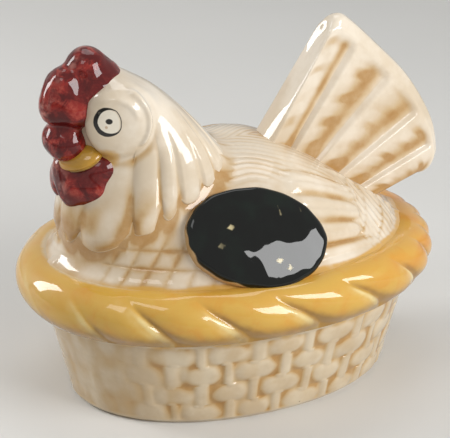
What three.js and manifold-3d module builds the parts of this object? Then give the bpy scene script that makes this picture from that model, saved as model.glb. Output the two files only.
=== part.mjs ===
// Salt shaker in glazed earthenware: a hen sitting on an oval basket, closed below by a stopper.
// Millimetres, +Z up, the table at z = 0. The hen faces -X and its left side faces -Y.
// The pot is hollow. A rope rim is luted onto the basket, and the hen is luted onto the rope rim.

import * as THREE from "three";
import { mergeVertices } from "three/addons/utils/BufferGeometryUtils.js";
import Module from "manifold-3d";

const wasm = await Module();
wasm.setup();

// Rope rim
const ropeHalfLength = 42;
const ropeHalfWidth = 31.2;
const ropeRadius = 5.3;
const ropeCentreRise = 4.4; // middle of the tube above the seam with the basket
const ropeUndercut = 0.4; // how far the tube draws in again down to the seam
const ropeValleyInset = 1.7; // upright inner wall, inside the middle of the tube
const ropeSeatDrop = 3.6; // the hen's seat below the top of that wall
const ropeGrooveDepth = 1.5;

// Basket
const basketHeight = 19.8;
const basketStepAtEnds = 4.6; // basket rim inside the rope's outline
const basketStepAtSides = 3.5;
const basketTaper = 5.1; // foot inside the rim
const basketWall = 3.3;
const basketFloor = 3.4;
const footRecess = 1.2;
const footRingWidth = 4.6;
const footRounding = 0.9;
const plainBand = 1.2; // unwoven strip under the rope
const weaveRelief = 0.85;

// Filler hole and its stopper
const fillerRadius = 8.2;
const stopperClearance = 0.3;
const stopperFootRise = 0.6;
const stopperLength = 7.6;
const stopperChamfer = 0.7;

// Hen
const seatGap = 0.3; // between the hen and what is set against its curved faces
const henWall = 3.2;
const henRise = 37.8; // crown above the rope
const backRise = 19.1; // back above the rope
const hackleRelief = 0.8;
const hackleStep = 0.9; // hackle feathers proud of the breast
const pourHoleRadius = 1;
const pourHoleSpacing = 3.8;
const wingFeatherHeight = 3.6;
const wingFeatherLength = 15;

// Tail
const tailRise = 40.9; // highest point above the rope
const tailReach = 46; // rearmost point behind the middle of the basket
const tailThickness = 5.4;
const tailFluteDepth = 0.8;

// Cartouche on the left wing
const panelDome = 1.5;

// A cutting tool runs past the face that it leaves by this much
const overrun = 2;

// Counts and shares
const ovalPower = 2.1;
const stakeCount = 36;
const weaveRows = 4;
const rowShares = [0.07, 0.5, 0.93];
const stakeShares = [0.12, 0.3, 0.7, 0.88];
const weaverRoundness = 0.4;
const weaveFadeShares = [0.05, 0.2];
const weaveAtHeadShare = 0.25; // relief left in the weave where it fades at the head end
const fillerSlopeShare = 0.08;
const ropeFadeShares = [0.07, 0.16];
const ropeLayShare = 0.95; // strand pitches that a groove runs along while it climbs over the tube
const strandSkew = 1.15;
const strandRoundness = 0.6;
const tailFlutes = 5;
const pourHoles = 3;

// Facets round the ovals and the round holes
const ovalFacets = 36;
const boreFacets = 32;
const columnsPerStrand = 5;
const ropeArcSteps = 7;
const moundFacets = 40;
const moundSteps = 8;
const chamberFacets = 28;
const chamberSteps = 6;
const pourFacets = 16;
const breastFacets = 28;
const breastRings = 6;
const panelFacets = 40;
const hackleRings = 13;

// Grooves of the rope, from the tail end to the head end of one side, as shares of half a turn
const grooveTurnShares = [-0.03, 0.03, 0.094, 0.156, 0.233, 0.339, 0.458, 0.564, 0.678, 0.794, 0.92, 1.08];

// Back line: place along the half length, height above the rope
const backShares = [
  [-1, 0],
  [-0.865, 0.2],
  [-0.69, 0.45],
  [-0.49, 0.7],
  [-0.29, 0.9],
  [-0.06, 0.99],
  [0.17, 1],
  [0.36, 0.86],
  [0.585, 0.59],
  [0.78, 0.28],
  [0.91, 0.09],
  [1, 0],
];

// Neck and head: station, front x and z, nape x and z, half width
const neckShares = [
  [0, -0.99, -0.05, 0.17, -0.05, 0.7],
  [0.14, -1, 0.12, 0.07, 0.24, 0.69],
  [0.28, -0.995, 0.265, -0.03, 0.455, 0.65],
  [0.42, -0.97, 0.424, -0.14, 0.58, 0.58],
  [0.55, -0.945, 0.555, -0.24, 0.69, 0.5],
  [0.67, -0.94, 0.674, -0.34, 0.79, 0.42],
  [0.78, -0.94, 0.779, -0.45, 0.875, 0.35],
  [0.88, -0.915, 0.871, -0.553, 0.935, 0.28],
  [0.95, -0.86, 0.945, -0.64, 0.978, 0.19],
  [1, -0.79, 0.993, -0.72, 0.997, 0.08],
];
const faceNarrowShare = 0.42;
const faceNarrowMiddle = 0.2;
const faceNarrowStations = [0.2, 0.5];
const neckCavityTopShare = 0.72;
const crownShares = [-0.756, 1];
const breastTopShare = 0.38;
const hackleFadeShares = [0.45, 0.75];
const crestShare = 0.65; // how much of a feather's relief lies below the neck's own surface
const featherRoundness = 1.7;
const featherTwist = 57; // degrees that the feathers turn towards the face over the neck's stations
const featherTwistShares = [0.25, 0.15, 0.67];
const twistFadeTurns = [0, 40, 150, 180];
const featherNotchShare = 0.052;

// Feathers of one side from the nape to the throat: place of the edge and of the tip in degrees
// from the nape, station of the tip, how square the tip is
const featherRows = [
  [-12, 0, 0.262, 2],
  [12, 22, 0.272, 1.6],
  [33, 43, 0.276, 1.5],
  [52, 60, 0.288, 1.6],
  [68, 78, 0.268, 1.5],
  [87, 94, 0.238, 1.5],
  [100, 110, 0.205, 4.5],
  [119, 138, 0.138, 1.5],
  [155, 167, 0.15, 2.2],
];
const throatEdge = 180;
const featherColumns = [-1, -0.5, 0, 0.5];

const pourHoleShare = 0.5;
const napeClimbShare = 0.1; // stretch of the nape that gives the pour holes their direction

// Middle of the head: along the half length, and above the rope. Its radii: shares of the hen's
// half length, half width and rise.
const headShares = [-0.772, 0.787];
const headRadiusShares = [0.288, 0.418, 0.265];
const cheekShares = [0.2, 0.7, -0.1, 0.63, 0.3, 0.68];
const cheekTurn = THREE.MathUtils.degToRad(25);

// Lobes: middle x, y, z from the middle of the head, then the three radii, all in head radii
const combShares = [
  [-0.15, 0, 0.82, 0.5, 0.46, 0.42],
  [-0.5, 0, 0.5, 0.42, 0.46, 0.42],
  [-0.6, 0, 0.02, 0.36, 0.4, 0.46],
  [-0.02, 0.34, 0.5, 0.46, 0.34, 0.4],
  [-0.02, -0.34, 0.5, 0.46, 0.34, 0.4],
  [0.2, 0, 0.66, 0.38, 0.46, 0.42],
  [-0.4, 0.22, 0.08, 0.4, 0.36, 0.46],
  [-0.4, -0.22, 0.08, 0.4, 0.36, 0.46],
  [-0.58, 0, -0.52, 0.42, 0.52, 0.44],
];
const wattleShares = [
  [-0.55, 0, -1.2, 0.4, 0.42, 0.6],
  [-0.5, 0.3, -1.4, 0.42, 0.4, 0.5],
  [-0.5, -0.3, -1.4, 0.42, 0.4, 0.5],
  [-0.24, 0.52, -1.28, 0.44, 0.36, 0.46],
  [-0.24, -0.52, -1.28, 0.44, 0.36, 0.46],
  [-0.04, 0.56, -1, 0.38, 0.32, 0.32],
  [-0.04, -0.56, -1, 0.38, 0.32, 0.32],
];
const beakShares = [-0.3, 0, -0.77, 0.56, 0.68, 0.26];
const beakTilt = THREE.MathUtils.degToRad(-28);

// Wing feathers on each flank: place along the half length, then up the flank, and the tilt
const wingShares = [
  [0.42, 0.08, 0.36],
  [0.45, 0.26, 0.4],
  [0.47, 0.46, 0.44],
  [0.46, 0.68, 0.48],
];

// Outline of the tail: share of the fan from its front edge to its lower one, then x and z
const tailRootShares = [
  [0, 0.1, 0.36],
  [0.5, 0.38, 0.22],
  [1, 0.7, 0.06],
];
const tailTipShares = [
  [0, 0.455, 0.93],
  [0.04, 0.475, 0.985],
  [0.09, 0.515, 1],
  [0.15, 0.56, 0.97],
  [0.3, 0.685, 0.835],
  [0.48, 0.845, 0.645],
  [0.68, 0.965, 0.42],
  [0.86, 1, 0.25],
  [0.93, 0.985, 0.19],
  [1, 0.93, 0.13],
];
const tailWaistShares = [1.5, 1];
const tailBorderShares = [0.8, 0.95]; // flutes run out here on the way to the rim
const tailRimShares = [0.85, 1];
const tailRimThinning = 0.55;
const tailEdgeShare = 0.25; // thickness left at the fan's two straight edges
const tailEdgeSlope = 4;

// Middle of the cartouche: along the half length, and up the flank. Its lean from upright, its
// turn towards the head and its roll. How far the ball that domes it reaches past its edge.
const panelShares = [-0.103, 0.425];
const panelLengthShare = 0.793;
const panelHeightShare = 1.019;
const panelLean = THREE.MathUtils.degToRad(36);
const panelTurn = THREE.MathUtils.degToRad(-4);
const panelRoll = THREE.MathUtils.degToRad(14);
const panelSpread = 1.25;

// Places that follow from the sizes
const ropeCentreLength = ropeHalfLength - ropeRadius;
const ropeCentreWidth = ropeHalfWidth - ropeRadius;
const ropeCentreZ = basketHeight + ropeCentreRise;
const ropeTopZ = ropeCentreZ + Math.sqrt(ropeRadius ** 2 - ropeValleyInset ** 2);
const seatZ = ropeTopZ - ropeSeatDrop;
const basketRimLength = ropeHalfLength - basketStepAtEnds;
const basketRimWidth = ropeHalfWidth - basketStepAtSides;
const floorTopZ = footRecess + basketFloor;
const henHalfLength = ropeCentreLength - ropeValleyInset - seatGap;
const henHalfWidth = ropeCentreWidth - ropeValleyInset - seatGap;
const headX = headShares[0] * henHalfLength;
const headZ = ropeTopZ + headShares[1] * henRise;
const headRadii = [henHalfLength, henHalfWidth, henRise].map((size, i) => size * headRadiusShares[i]);

const fullTurn = 2 * Math.PI;

// Point of the oval plan at a turn share, counted from the tail end through the right side
function ovalPoint(turnShare, halfLength, halfWidth, z) {
  const cos = Math.cos(fullTurn * turnShare);
  const sin = Math.sin(fullTurn * turnShare);
  const x = halfLength * Math.sign(cos) * Math.abs(cos) ** (2 / ovalPower);
  const y = halfWidth * Math.sign(sin) * Math.abs(sin) ** (2 / ovalPower);
  return new THREE.Vector3(x, y, z);
}

function ovalRing(count, halfLength, halfWidth, z) {
  return Array.from({ length: count }, (_, i) => ovalPoint(i / count, halfLength, halfWidth, z));
}

// Turn shares of points placed by their share of the way round the basket's rim
function evenTurnShares(wayShares) {
  const steps = 720;
  const lengths = [0];
  let last = ovalPoint(0, basketRimLength, basketRimWidth, 0);
  for (let i = 1; i <= steps; i++) {
    const next = ovalPoint(i / steps, basketRimLength, basketRimWidth, 0);
    lengths.push(lengths[i - 1] + next.distanceTo(last));
    last = next;
  }
  let step = 0;
  return wayShares.map((share) => {
    const wanted = lengths[steps] * share;
    while (lengths[step + 1] < wanted) {
      step++;
    }
    return (step + (wanted - lengths[step]) / (lengths[step + 1] - lengths[step])) / steps;
  });
}

// Values at a key between the rows of a table: a cubic through the rows, sloped by their neighbours
function follow(rows, key) {
  const last = rows.length - 1;
  let i = 0;
  while (i < last - 1 && rows[i + 1][0] < key) {
    i++;
  }
  const from = rows[i];
  const to = rows[i + 1];
  const before = rows[Math.max(i - 1, 0)];
  const after = rows[Math.min(i + 2, last)];
  const span = to[0] - from[0];
  const t = (key - from[0]) / span;
  return from.slice(1).map((value, n) => {
    const end = to[n + 1];
    const slopeFrom = (span * (end - before[n + 1])) / (to[0] - before[0]);
    const slopeTo = (span * (after[n + 1] - value)) / (after[0] - from[0]);
    return (
      value * (2 * t ** 3 - 3 * t ** 2 + 1) +
      slopeFrom * (t ** 3 - 2 * t ** 2 + t) +
      end * (3 * t ** 2 - 2 * t ** 3) +
      slopeTo * (t ** 3 - t ** 2)
    );
  });
}

// Closed skin over rings of points. The ends are joined to each other where no caps are given.
function skin(rings, caps) {
  const count = rings[0].length;
  const points = rings.flat();
  const faces = [];
  const strips = caps ? rings.length - 1 : rings.length;
  for (let r = 0; r < strips; r++) {
    const next = (r + 1) % rings.length;
    for (let i = 0; i < count; i++) {
      const j = (i + 1) % count;
      faces.push(r * count + i, r * count + j, next * count + j);
      faces.push(r * count + i, next * count + j, next * count + i);
    }
  }
  if (caps) {
    const [low, high] = caps;
    const topRow = (rings.length - 1) * count;
    points.push(low, high);
    for (let i = 0; i < count; i++) {
      const j = (i + 1) % count;
      faces.push(points.length - 2, j, i);
      faces.push(points.length - 1, topRow + i, topRow + j);
    }
  }
  const volume = faces.reduce((sum, _, n) => {
    if (n % 3) {
      return sum;
    }
    const [a, b, c] = faces.slice(n, n + 3).map((k) => points[k]);
    return sum + a.dot(b.clone().cross(c));
  }, 0);
  const geometry = new THREE.BufferGeometry().setFromPoints(points);
  geometry.setIndex(volume < 0 ? faces.reverse() : faces);
  return geometry;
}

function middleOf(ring) {
  const sum = ring.reduce((total, point) => total.add(point), new THREE.Vector3());
  return sum.divideScalar(ring.length);
}

function cappedSkin(rings) {
  return skin(rings, [middleOf(rings[0]), middleOf(rings[rings.length - 1])]);
}

// Closed geometry to solid and back
function solidOf(geometry) {
  const bare = geometry.clone();
  bare.deleteAttribute("normal");
  bare.deleteAttribute("uv");
  const merged = mergeVertices(bare);
  const vertProperties = new Float32Array(merged.attributes.position.array);
  const triVerts = new Uint32Array(merged.index.array);
  return new wasm.Manifold(new wasm.Mesh({ numProp: 3, vertProperties, triVerts }));
}

function geometryOf(solid) {
  const mesh = solid.getMesh();
  const geometry = new THREE.BufferGeometry();
  geometry.setAttribute("position", new THREE.BufferAttribute(new Float32Array(mesh.vertProperties), 3));
  geometry.setIndex(new THREE.BufferAttribute(new Uint32Array(mesh.triVerts), 1));
  geometry.computeVertexNormals();
  return geometry;
}

function joined(solids) {
  return solids.reduce((whole, next) => whole.add(next));
}

// Ellipsoid solid about a point, its poles along Y
function lobe(middle, radii, { tilt = 0, turn = 0, across = 10, bands = 6 } = {}) {
  const ball = new THREE.SphereGeometry(1, across, bands);
  ball.scale(radii[0], radii[1], radii[2]);
  ball.rotateY(tilt);
  ball.rotateZ(turn);
  ball.translate(middle[0], middle[1], middle[2]);
  return solidOf(ball);
}

// Lobe given in head radii, swollen by a gap where it cuts its neighbour
function headLobe(shares, grow = 0, pose = {}) {
  const [x, y, z] = shares.slice(0, 3).map((share, i) => share * headRadii[i]);
  const radii = shares.slice(3).map((share, i) => share * headRadii[i] + grow);
  return lobe([headX + x, y, headZ + z], radii, pose);
}

// Basket: an oval tub with a woven wall, a recessed floor and a filler hole
// The column is counted in stakes: every second stake shows, and a weaver bulges over the one between
function weaveHeightAt(column, turnShare, z) {
  const rowHeight = (basketHeight - plainBand) / weaveRows;
  const row = Math.floor(z / rowHeight);
  const up = z / rowHeight - row;
  const along = (column + row + 1) % 2;
  const fromStake = Math.min(along, 2 - along);
  const [stakeEdge, gap, shoulder] = stakeShares;
  const bulge = Math.sin(Math.PI * up) ** weaverRoundness;
  const block = THREE.MathUtils.smoothstep(fromStake, gap, shoulder) * bulge;
  const stake = 1 - THREE.MathUtils.smoothstep(fromStake, stakeEdge, gap);
  const fade = THREE.MathUtils.smoothstep(Math.abs(turnShare - 0.5), ...weaveFadeShares);
  return weaveRelief * THREE.MathUtils.lerp(weaveAtHeadShare, 1, fade) * Math.max(block, stake);
}

function makeBasket() {
  const columns = Array.from({ length: stakeCount }, (_, i) => i).flatMap((stake) => {
    return stakeShares.map((share) => stake + share);
  });
  const turns = evenTurnShares(columns.map((column) => column / stakeCount));
  const rowHeight = (basketHeight - plainBand) / weaveRows;
  const levels = [0];
  for (let row = 0; row < weaveRows; row++) {
    rowShares.forEach((share) => levels.push(Math.max((row + share) * rowHeight, footRounding)));
  }
  levels.push(basketHeight);
  const rings = levels.map((z) => {
    const draw = basketTaper * (1 - z / basketHeight) + Math.max(footRounding - z, 0);
    return turns.map((turnShare, i) => {
      const woven = z > 0 && z < basketHeight;
      const relief = woven ? weaveHeightAt(columns[i], turnShare, z) - weaveRelief : 0;
      return ovalPoint(turnShare, basketRimLength - draw + relief, basketRimWidth - draw + relief, z);
    });
  });
  const tub = solidOf(cappedSkin(rings));
  const inner = [floorTopZ, floorTopZ + footRounding, basketHeight, basketHeight + overrun].map((z, i) => {
    const draw = basketTaper * Math.max(0, 1 - z / basketHeight) + basketWall + (i ? 0 : footRounding);
    return ovalRing(ovalFacets, basketRimLength - draw, basketRimWidth - draw, z);
  });
  const recess = [-overrun, footRecess].map((z) => {
    const draw = basketTaper + footRounding + footRingWidth;
    return ovalRing(ovalFacets, basketRimLength - draw, basketRimWidth - draw, z);
  });
  const hole = new THREE.CylinderGeometry(
    fillerRadiusAt(floorTopZ + overrun),
    fillerRadiusAt(-overrun),
    floorTopZ + 2 * overrun,
    boreFacets,
  );
  hole.rotateX(Math.PI / 2);
  hole.translate(0, 0, floorTopZ / 2);
  const cuts = [cappedSkin(inner), cappedSkin(recess), hole].map(solidOf);
  return cuts.reduce((solid, cut) => solid.subtract(cut), tub);
}

// The filler hole narrows upwards, and the stopper with it
function fillerRadiusAt(z) {
  return fillerRadius - fillerSlopeShare * (z - footRecess);
}

function makeStopper() {
  const low = stopperFootRise;
  const high = stopperFootRise + stopperLength;
  const side = (z) => fillerRadiusAt(z) - stopperClearance;
  const outline = [
    [0, low],
    [side(low) - stopperChamfer, low],
    [side(low + stopperChamfer), low + stopperChamfer],
    [side(high - stopperChamfer), high - stopperChamfer],
    [side(high) - stopperChamfer, high],
    [0, high],
  ];
  const turned = new THREE.LatheGeometry(outline.map(([x, y]) => new THREE.Vector2(x, y)), boreFacets);
  turned.rotateX(Math.PI / 2);
  return solidOf(turned);
}

// Rope rim: a tube of slanting strands, with an upright inner wall and a seat for the hen
function strandBulge(phase) {
  return Math.sin(Math.PI * phase ** strandSkew) ** strandRoundness;
}

// Turn share of a strand count from the tail end; the two sides mirror each other
function turnOfStrand(strand) {
  const half = grooveTurnShares.length - 2;
  const rows = grooveTurnShares.map((share, i) => [i - 0.5, share]);
  const wrapped = (strand + 2 * half) % (2 * half);
  const mirrored = wrapped > half ? 2 * half - wrapped : wrapped;
  const [share] = follow(rows, mirrored);
  return wrapped > half ? 1 - share / 2 : share / 2;
}

function makeRope() {
  const strands = 2 * (grooveTurnShares.length - 2);
  const low = Math.asin(-(ropeCentreRise - ropeUndercut) / ropeRadius);
  const high = Math.acos(-ropeValleyInset / ropeRadius);
  const columns = Array.from({ length: strands * columnsPerStrand }, (_, i) => {
    const bulge = strandBulge((i % columnsPerStrand) / columnsPerStrand);
    const at = (up) => turnOfStrand(i / columnsPerStrand + 0.5 - ropeLayShare * up);
    const place = (up, outset, z) => {
      return ovalPoint(at(up), ropeCentreLength + outset, ropeCentreWidth + outset, z);
    };
    const arc = Array.from({ length: ropeArcSteps + 1 }, (_, k) => {
      const up = k / ropeArcSteps;
      const angle = THREE.MathUtils.lerp(low, high, up);
      const fade = THREE.MathUtils.smoothstep(Math.abs(at(up) - 0.5), ...ropeFadeShares);
      const radius = ropeRadius - ropeGrooveDepth * fade * (1 - bulge);
      const outset = k < ropeArcSteps ? radius * Math.cos(angle) : -ropeValleyInset;
      return [outset, radius * Math.sin(angle)];
    });
    const inner = -ropeValleyInset - seatGap - henWall;
    return [
      ...arc.map(([outset, rise], k) => place(k / ropeArcSteps, outset, ropeCentreZ + rise)),
      place(1, -ropeValleyInset, seatZ),
      place(1, inner, seatZ),
      place(1, inner, basketHeight),
      place(0, arc[0][0] - ropeUndercut, basketHeight),
    ];
  });
  return solidOf(skin(columns));
}

// Back of the hen: a dome over the oval plan that follows the back line
function backHeight(x, grow) {
  const key = THREE.MathUtils.clamp(x / henHalfLength, -1, 1);
  return ropeTopZ + grow + Math.max(0, follow(backShares, key)[0]) * backRise;
}

function makeMound(grow, bottomZ, count = moundFacets, steps = moundSteps) {
  const halfLength = henHalfLength + grow;
  const halfWidth = henHalfWidth + grow;
  const rings = [bottomZ, ropeTopZ].map((z) => ovalRing(count, halfLength, halfWidth, z));
  for (let k = 1; k < steps; k++) {
    const scale = Math.cos((Math.PI / 2) * (k / steps));
    const ring = ovalRing(count, scale * halfLength, scale * halfWidth, 0);
    ring.forEach((point) => {
      const across = Math.abs(point.y) / halfWidth;
      const span = (1 - Math.min(1, Math.abs(point.x) / halfLength) ** ovalPower) ** (1 / ovalPower);
      const lift = Math.sqrt(Math.max(0, 1 - (across / Math.max(span, across)) ** 2));
      point.z = ropeTopZ + lift * (backHeight(point.x, grow) - ropeTopZ);
    });
    rings.push(ring);
  }
  const top = new THREE.Vector3(0, 0, backHeight(0, grow));
  return solidOf(skin(rings, [middleOf(rings[0]), top]));
}

// Neck and head: slanted oval sections from the breast to the crown, narrowed towards the face
function neckPoint(station, angle, grow) {
  const [frontX, frontZ, napeX, napeZ, width] = follow(neckShares, station);
  const front = new THREE.Vector3(frontX * henHalfLength, 0, ropeTopZ + frontZ * henRise);
  const nape = new THREE.Vector3(napeX * henHalfLength, 0, ropeTopZ + napeZ * henRise);
  const middle = front.clone().add(nape).divideScalar(2);
  const half = nape.clone().sub(middle);
  const narrow = faceNarrowShare * THREE.MathUtils.smoothstep(station, ...faceNarrowStations);
  const length = half.length();
  const point = middle.addScaledVector(half.divideScalar(length), Math.cos(angle) * (length + grow));
  const halfWidth = width * henHalfWidth * (1 + narrow * (Math.cos(angle) - faceNarrowMiddle));
  point.y = Math.sin(angle) * (halfWidth + grow);
  return point;
}

// Plain neck from its foot up to a station
function makeBreast(grow, topShare = breastTopShare) {
  const rings = Array.from({ length: breastRings }, (_, i) => {
    const station = (topShare * i) / (breastRings - 1);
    return Array.from({ length: breastFacets }, (_, j) => {
      return neckPoint(station, (fullTurn * j) / breastFacets, grow);
    });
  });
  return solidOf(cappedSkin(rings));
}

// Feathers all round the neck, as place across each feather and its line in degrees from the nape
function featherLines() {
  const edges = [...featherRows.map(([edge]) => edge), throatEdge];
  const side = featherRows.flatMap(([edge, tip, station, squareness], i) => {
    return featherColumns.map((across) => {
      const line = across < 0 ? edge + (tip - edge) * (1 + across) : tip + (edges[i + 1] - tip) * across;
      return { across, line, station, squareness };
    });
  });
  const half = side.filter(({ line }) => line > 0);
  const mirrored = half.map(({ across, line, ...rest }) => ({ across: -across, line: -line, ...rest }));
  const [, , napeStation, napeSquareness] = featherRows[0];
  const [, , throatStation, throatSquareness] = featherRows[featherRows.length - 1];
  const nape = { across: 0, line: 0, station: napeStation, squareness: napeSquareness };
  const throat = { across: 1, line: throatEdge, station: throatStation, squareness: throatSquareness };
  return [nape, ...half, throat, ...mirrored.reverse()];
}

// Hackle: a cape of feathers over the neck, which end in points on the breast. A feather keeps its
// line, and the line turns towards the nape as it climbs.
function makeHackle(grow) {
  const [twistMiddle, ...twistReach] = featherTwistShares;
  const [napeTurn, sideTurn, throatTurn, endTurn] = twistFadeTurns;
  const angleOf = (line, station) => {
    const turn = Math.abs(line);
    const napeSide = THREE.MathUtils.smoothstep(turn, napeTurn, sideTurn);
    const twisted = napeSide * (1 - THREE.MathUtils.smoothstep(turn, throatTurn, endTurn));
    const climb = THREE.MathUtils.clamp(station, ...twistReach) - twistMiddle;
    return THREE.MathUtils.degToRad(line - Math.sign(line) * featherTwist * climb * twisted);
  };
  const lines = featherLines();
  const rings = Array.from({ length: hackleRings }, (_, i) => {
    return lines.map(({ across, line, station: tip, squareness }) => {
      const from = tip + featherNotchShare * Math.abs(across) ** squareness;
      const station = THREE.MathUtils.lerp(from, 1, i / (hackleRings - 1));
      const fade = 1 - THREE.MathUtils.smoothstep(station, ...hackleFadeShares);
      const crown = 1 - Math.abs(across) ** featherRoundness - crestShare;
      return neckPoint(station, angleOf(line, station), grow + hackleRelief * fade * crown);
    });
  });
  const [crownX, crownZ] = crownShares;
  const crown = new THREE.Vector3(crownX * henHalfLength, 0, ropeTopZ + crownZ * henRise + grow);
  return solidOf(skin(rings, [middleOf(rings[0]), crown]));
}

// Neck and head with the round cheeks, or the same swollen by a gap to cut what sits on it
function makeNeck(grow) {
  const cheeks = [-1, 1].map((side) => {
    const [x, y, ...rest] = cheekShares;
    return headLobe([x, side * y, ...rest], grow, { turn: side * cheekTurn, across: 16 });
  });
  return joined([makeBreast(grow - hackleStep), makeHackle(grow), ...cheeks]);
}

// Fluted fan of the tail: sections from its front edge to its lower one, each out to the rim and back
function makeTail() {
  const across = 4 * tailFlutes;
  const outSteps = 5;
  const place = (rows, share) => {
    const [x, z] = follow(rows, share);
    return new THREE.Vector3(x * tailReach, 0, ropeTopZ + z * tailRise);
  };
  const rings = Array.from({ length: across + 1 }, (_, i) => {
    const share = i / across;
    const root = place(tailRootShares, share);
    const tip = place(tailTipShares, share);
    const edge = Math.min(1, Math.sin(Math.PI * share) * tailEdgeSlope + tailEdgeShare);
    const groove = 1 - Math.abs(Math.sin(Math.PI * tailFlutes * share));
    const side = (sign) => {
      return Array.from({ length: outSteps + 1 }, (_, k) => {
        const out = k / outSteps;
        const depth = tailFluteDepth * groove * (1 - THREE.MathUtils.smoothstep(out, ...tailBorderShares));
        const swell = THREE.MathUtils.lerp(...tailWaistShares, out);
        const rim = 1 - tailRimThinning * THREE.MathUtils.smoothstep(out, ...tailRimShares);
        const point = root.clone().lerp(tip, out);
        point.y = sign * edge * ((tailThickness / 2) * swell * rim - depth);
        return point;
      });
    };
    return [...side(-1), ...side(1).reverse()];
  });
  return solidOf(cappedSkin(rings));
}

// Point on the flank of the hen, from a place along it and a height up it
function flankPoint(alongShare, upShare, side) {
  const x = alongShare * henHalfLength;
  const span = (1 - Math.abs(alongShare) ** ovalPower) ** (1 / ovalPower);
  const y = side * henHalfWidth * span * Math.sqrt(1 - upShare ** 2);
  return new THREE.Vector3(x, y, ropeTopZ + upShare * (backHeight(x, 0) - ropeTopZ));
}

function makeWingFeathers() {
  return [-1, 1].flatMap((side) => {
    return wingShares.map(([along, up, tilt]) => {
      const { x, y, z } = flankPoint(along, up, side);
      const radii = [wingFeatherLength / 2, wingFeatherHeight / 2, wingFeatherHeight / 2];
      return lobe([x, y, z], radii, { tilt, across: 8 });
    });
  });
}

function makePourHoles() {
  return Array.from({ length: pourHoles }, (_, i) => {
    const [, , napeX, napeZ] = follow(neckShares, pourHoleShare);
    const [, , aboveX, aboveZ] = follow(neckShares, pourHoleShare + napeClimbShare);
    const point = new THREE.Vector3(napeX * henHalfLength, 0, ropeTopZ + napeZ * henRise);
    const above = new THREE.Vector3(aboveX * henHalfLength, 0, ropeTopZ + aboveZ * henRise);
    const climb = above.sub(point).normalize();
    point.addScaledVector(climb, (i - (pourHoles - 1) / 2) * pourHoleSpacing);
    const drill = new THREE.CylinderGeometry(pourHoleRadius, pourHoleRadius, 2 * (henWall + overrun), pourFacets);
    drill.rotateZ(Math.atan2(climb.x, -climb.z) + Math.PI / 2);
    drill.rotateX(Math.PI / 2);
    drill.translate(point.x, 0, point.z);
    return solidOf(drill);
  });
}

// Room of the rope: all below the seat, and a band round the hen up to the rope's crest
function makeRopeRoom() {
  const slab = (halfLength, halfWidth, low, high) => {
    return solidOf(cappedSkin([low, high].map((z) => ovalRing(moundFacets, halfLength, halfWidth, z))));
  };
  const crestZ = ropeCentreZ + ropeRadius + seatGap;
  const whole = slab(ropeHalfLength, ropeHalfWidth, basketHeight, crestZ);
  return whole.subtract(slab(henHalfLength, henHalfWidth, seatZ, crestZ + overrun));
}

function makeHen() {
  const feathers = joined(makeWingFeathers()).subtract(makePanelTrim(seatGap));
  const outside = [makeMound(0, seatZ), makeNeck(0), makeTail(), feathers];
  const chamber = [
    makeMound(-henWall, seatZ - overrun, chamberFacets, chamberSteps),
    makeBreast(-henWall - hackleStep, neckCavityTopShare),
  ];
  const cuts = [...chamber, ...makePourHoles(), makeRopeRoom()];
  return cuts.reduce((solid, cut) => solid.subtract(cut), joined(outside));
}

// Head furniture: each piece is cut by the swollen shape of what it sits on
function makeComb() {
  const lobes = joined(combShares.map((shares) => headLobe(shares, 0, { bands: 5 })));
  return lobes.subtract(makeNeck(seatGap)).subtract(headLobe(beakShares, seatGap, { tilt: beakTilt }));
}

function makeBeak() {
  return headLobe(beakShares, 0, { tilt: beakTilt }).subtract(makeNeck(seatGap));
}

function makeWattles() {
  const lobes = joined(wattleShares.map((shares) => headLobe(shares, 0, { bands: 5 })));
  const combCut = joined(combShares.map((shares) => headLobe(shares, seatGap)));
  return lobes
    .subtract(makeNeck(seatGap))
    .subtract(headLobe(beakShares, seatGap, { tilt: beakTilt }))
    .subtract(combCut);
}

// Half length and half height of the cartouche
function panelHalves() {
  return [(panelLengthShare * henHalfLength) / 2, (panelHeightShare * backRise) / 2];
}

// Rolls, leans and turns a shape made square to Y, and sets it on the left flank
function placedOnPanel(geometry) {
  const middle = flankPoint(...panelShares, -1);
  geometry.rotateY(panelRoll);
  geometry.rotateX(-panelLean);
  geometry.rotateZ(panelTurn);
  geometry.translate(middle.x, middle.y, middle.z);
  return solidOf(geometry);
}

// Oval cylinder through the flank, to the cartouche's outline
function makePanelTrim(grow) {
  const [halfLength, halfHeight] = panelHalves();
  const trim = new THREE.CylinderGeometry(1, 1, henHalfWidth, panelFacets);
  trim.scale(halfLength + grow, 1, halfHeight + grow);
  return placedOnPanel(trim);
}

// Cartouche: a domed disc that leans on the flank and stands on the rope's crest
function makePanel() {
  const [halfLength, halfHeight] = panelHalves();
  const edgeShare = Math.sqrt(1 - 1 / panelSpread ** 2);
  const depth = panelDome / (1 - edgeShare);
  const ball = new THREE.SphereGeometry(1, panelFacets, panelFacets / 2);
  ball.scale(panelSpread * halfLength, depth, panelSpread * halfHeight);
  ball.translate(0, depth * edgeShare, 0);
  const blank = placedOnPanel(ball).intersect(makePanelTrim(0));
  const body = makeMound(seatGap, seatZ).add(makeNeck(seatGap));
  return blank.subtract(body).subtract(makeRopeRoom());
}

const finishes = {
  cream: { color: 0xdccbab, roughness: 0.15 },
  yellow: { color: 0xd9ab4e, roughness: 0.15 },
  red: { color: 0x7f1f22, roughness: 0.2 },
  black: { color: 0x0c110d, roughness: 0.1 },
  cork: { color: 0xa9805a, roughness: 0.9 },
};

const pieces = {
  basket: [makeBasket(), finishes.cream],
  rope_rim: [makeRope(), finishes.yellow],
  hen: [makeHen(), finishes.cream],
  comb: [makeComb(), finishes.red],
  wattles: [makeWattles(), finishes.red],
  beak: [makeBeak(), finishes.yellow],
  label_panel: [makePanel(), finishes.black],
  cork_stopper: [makeStopper(), finishes.cork],
};

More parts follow.
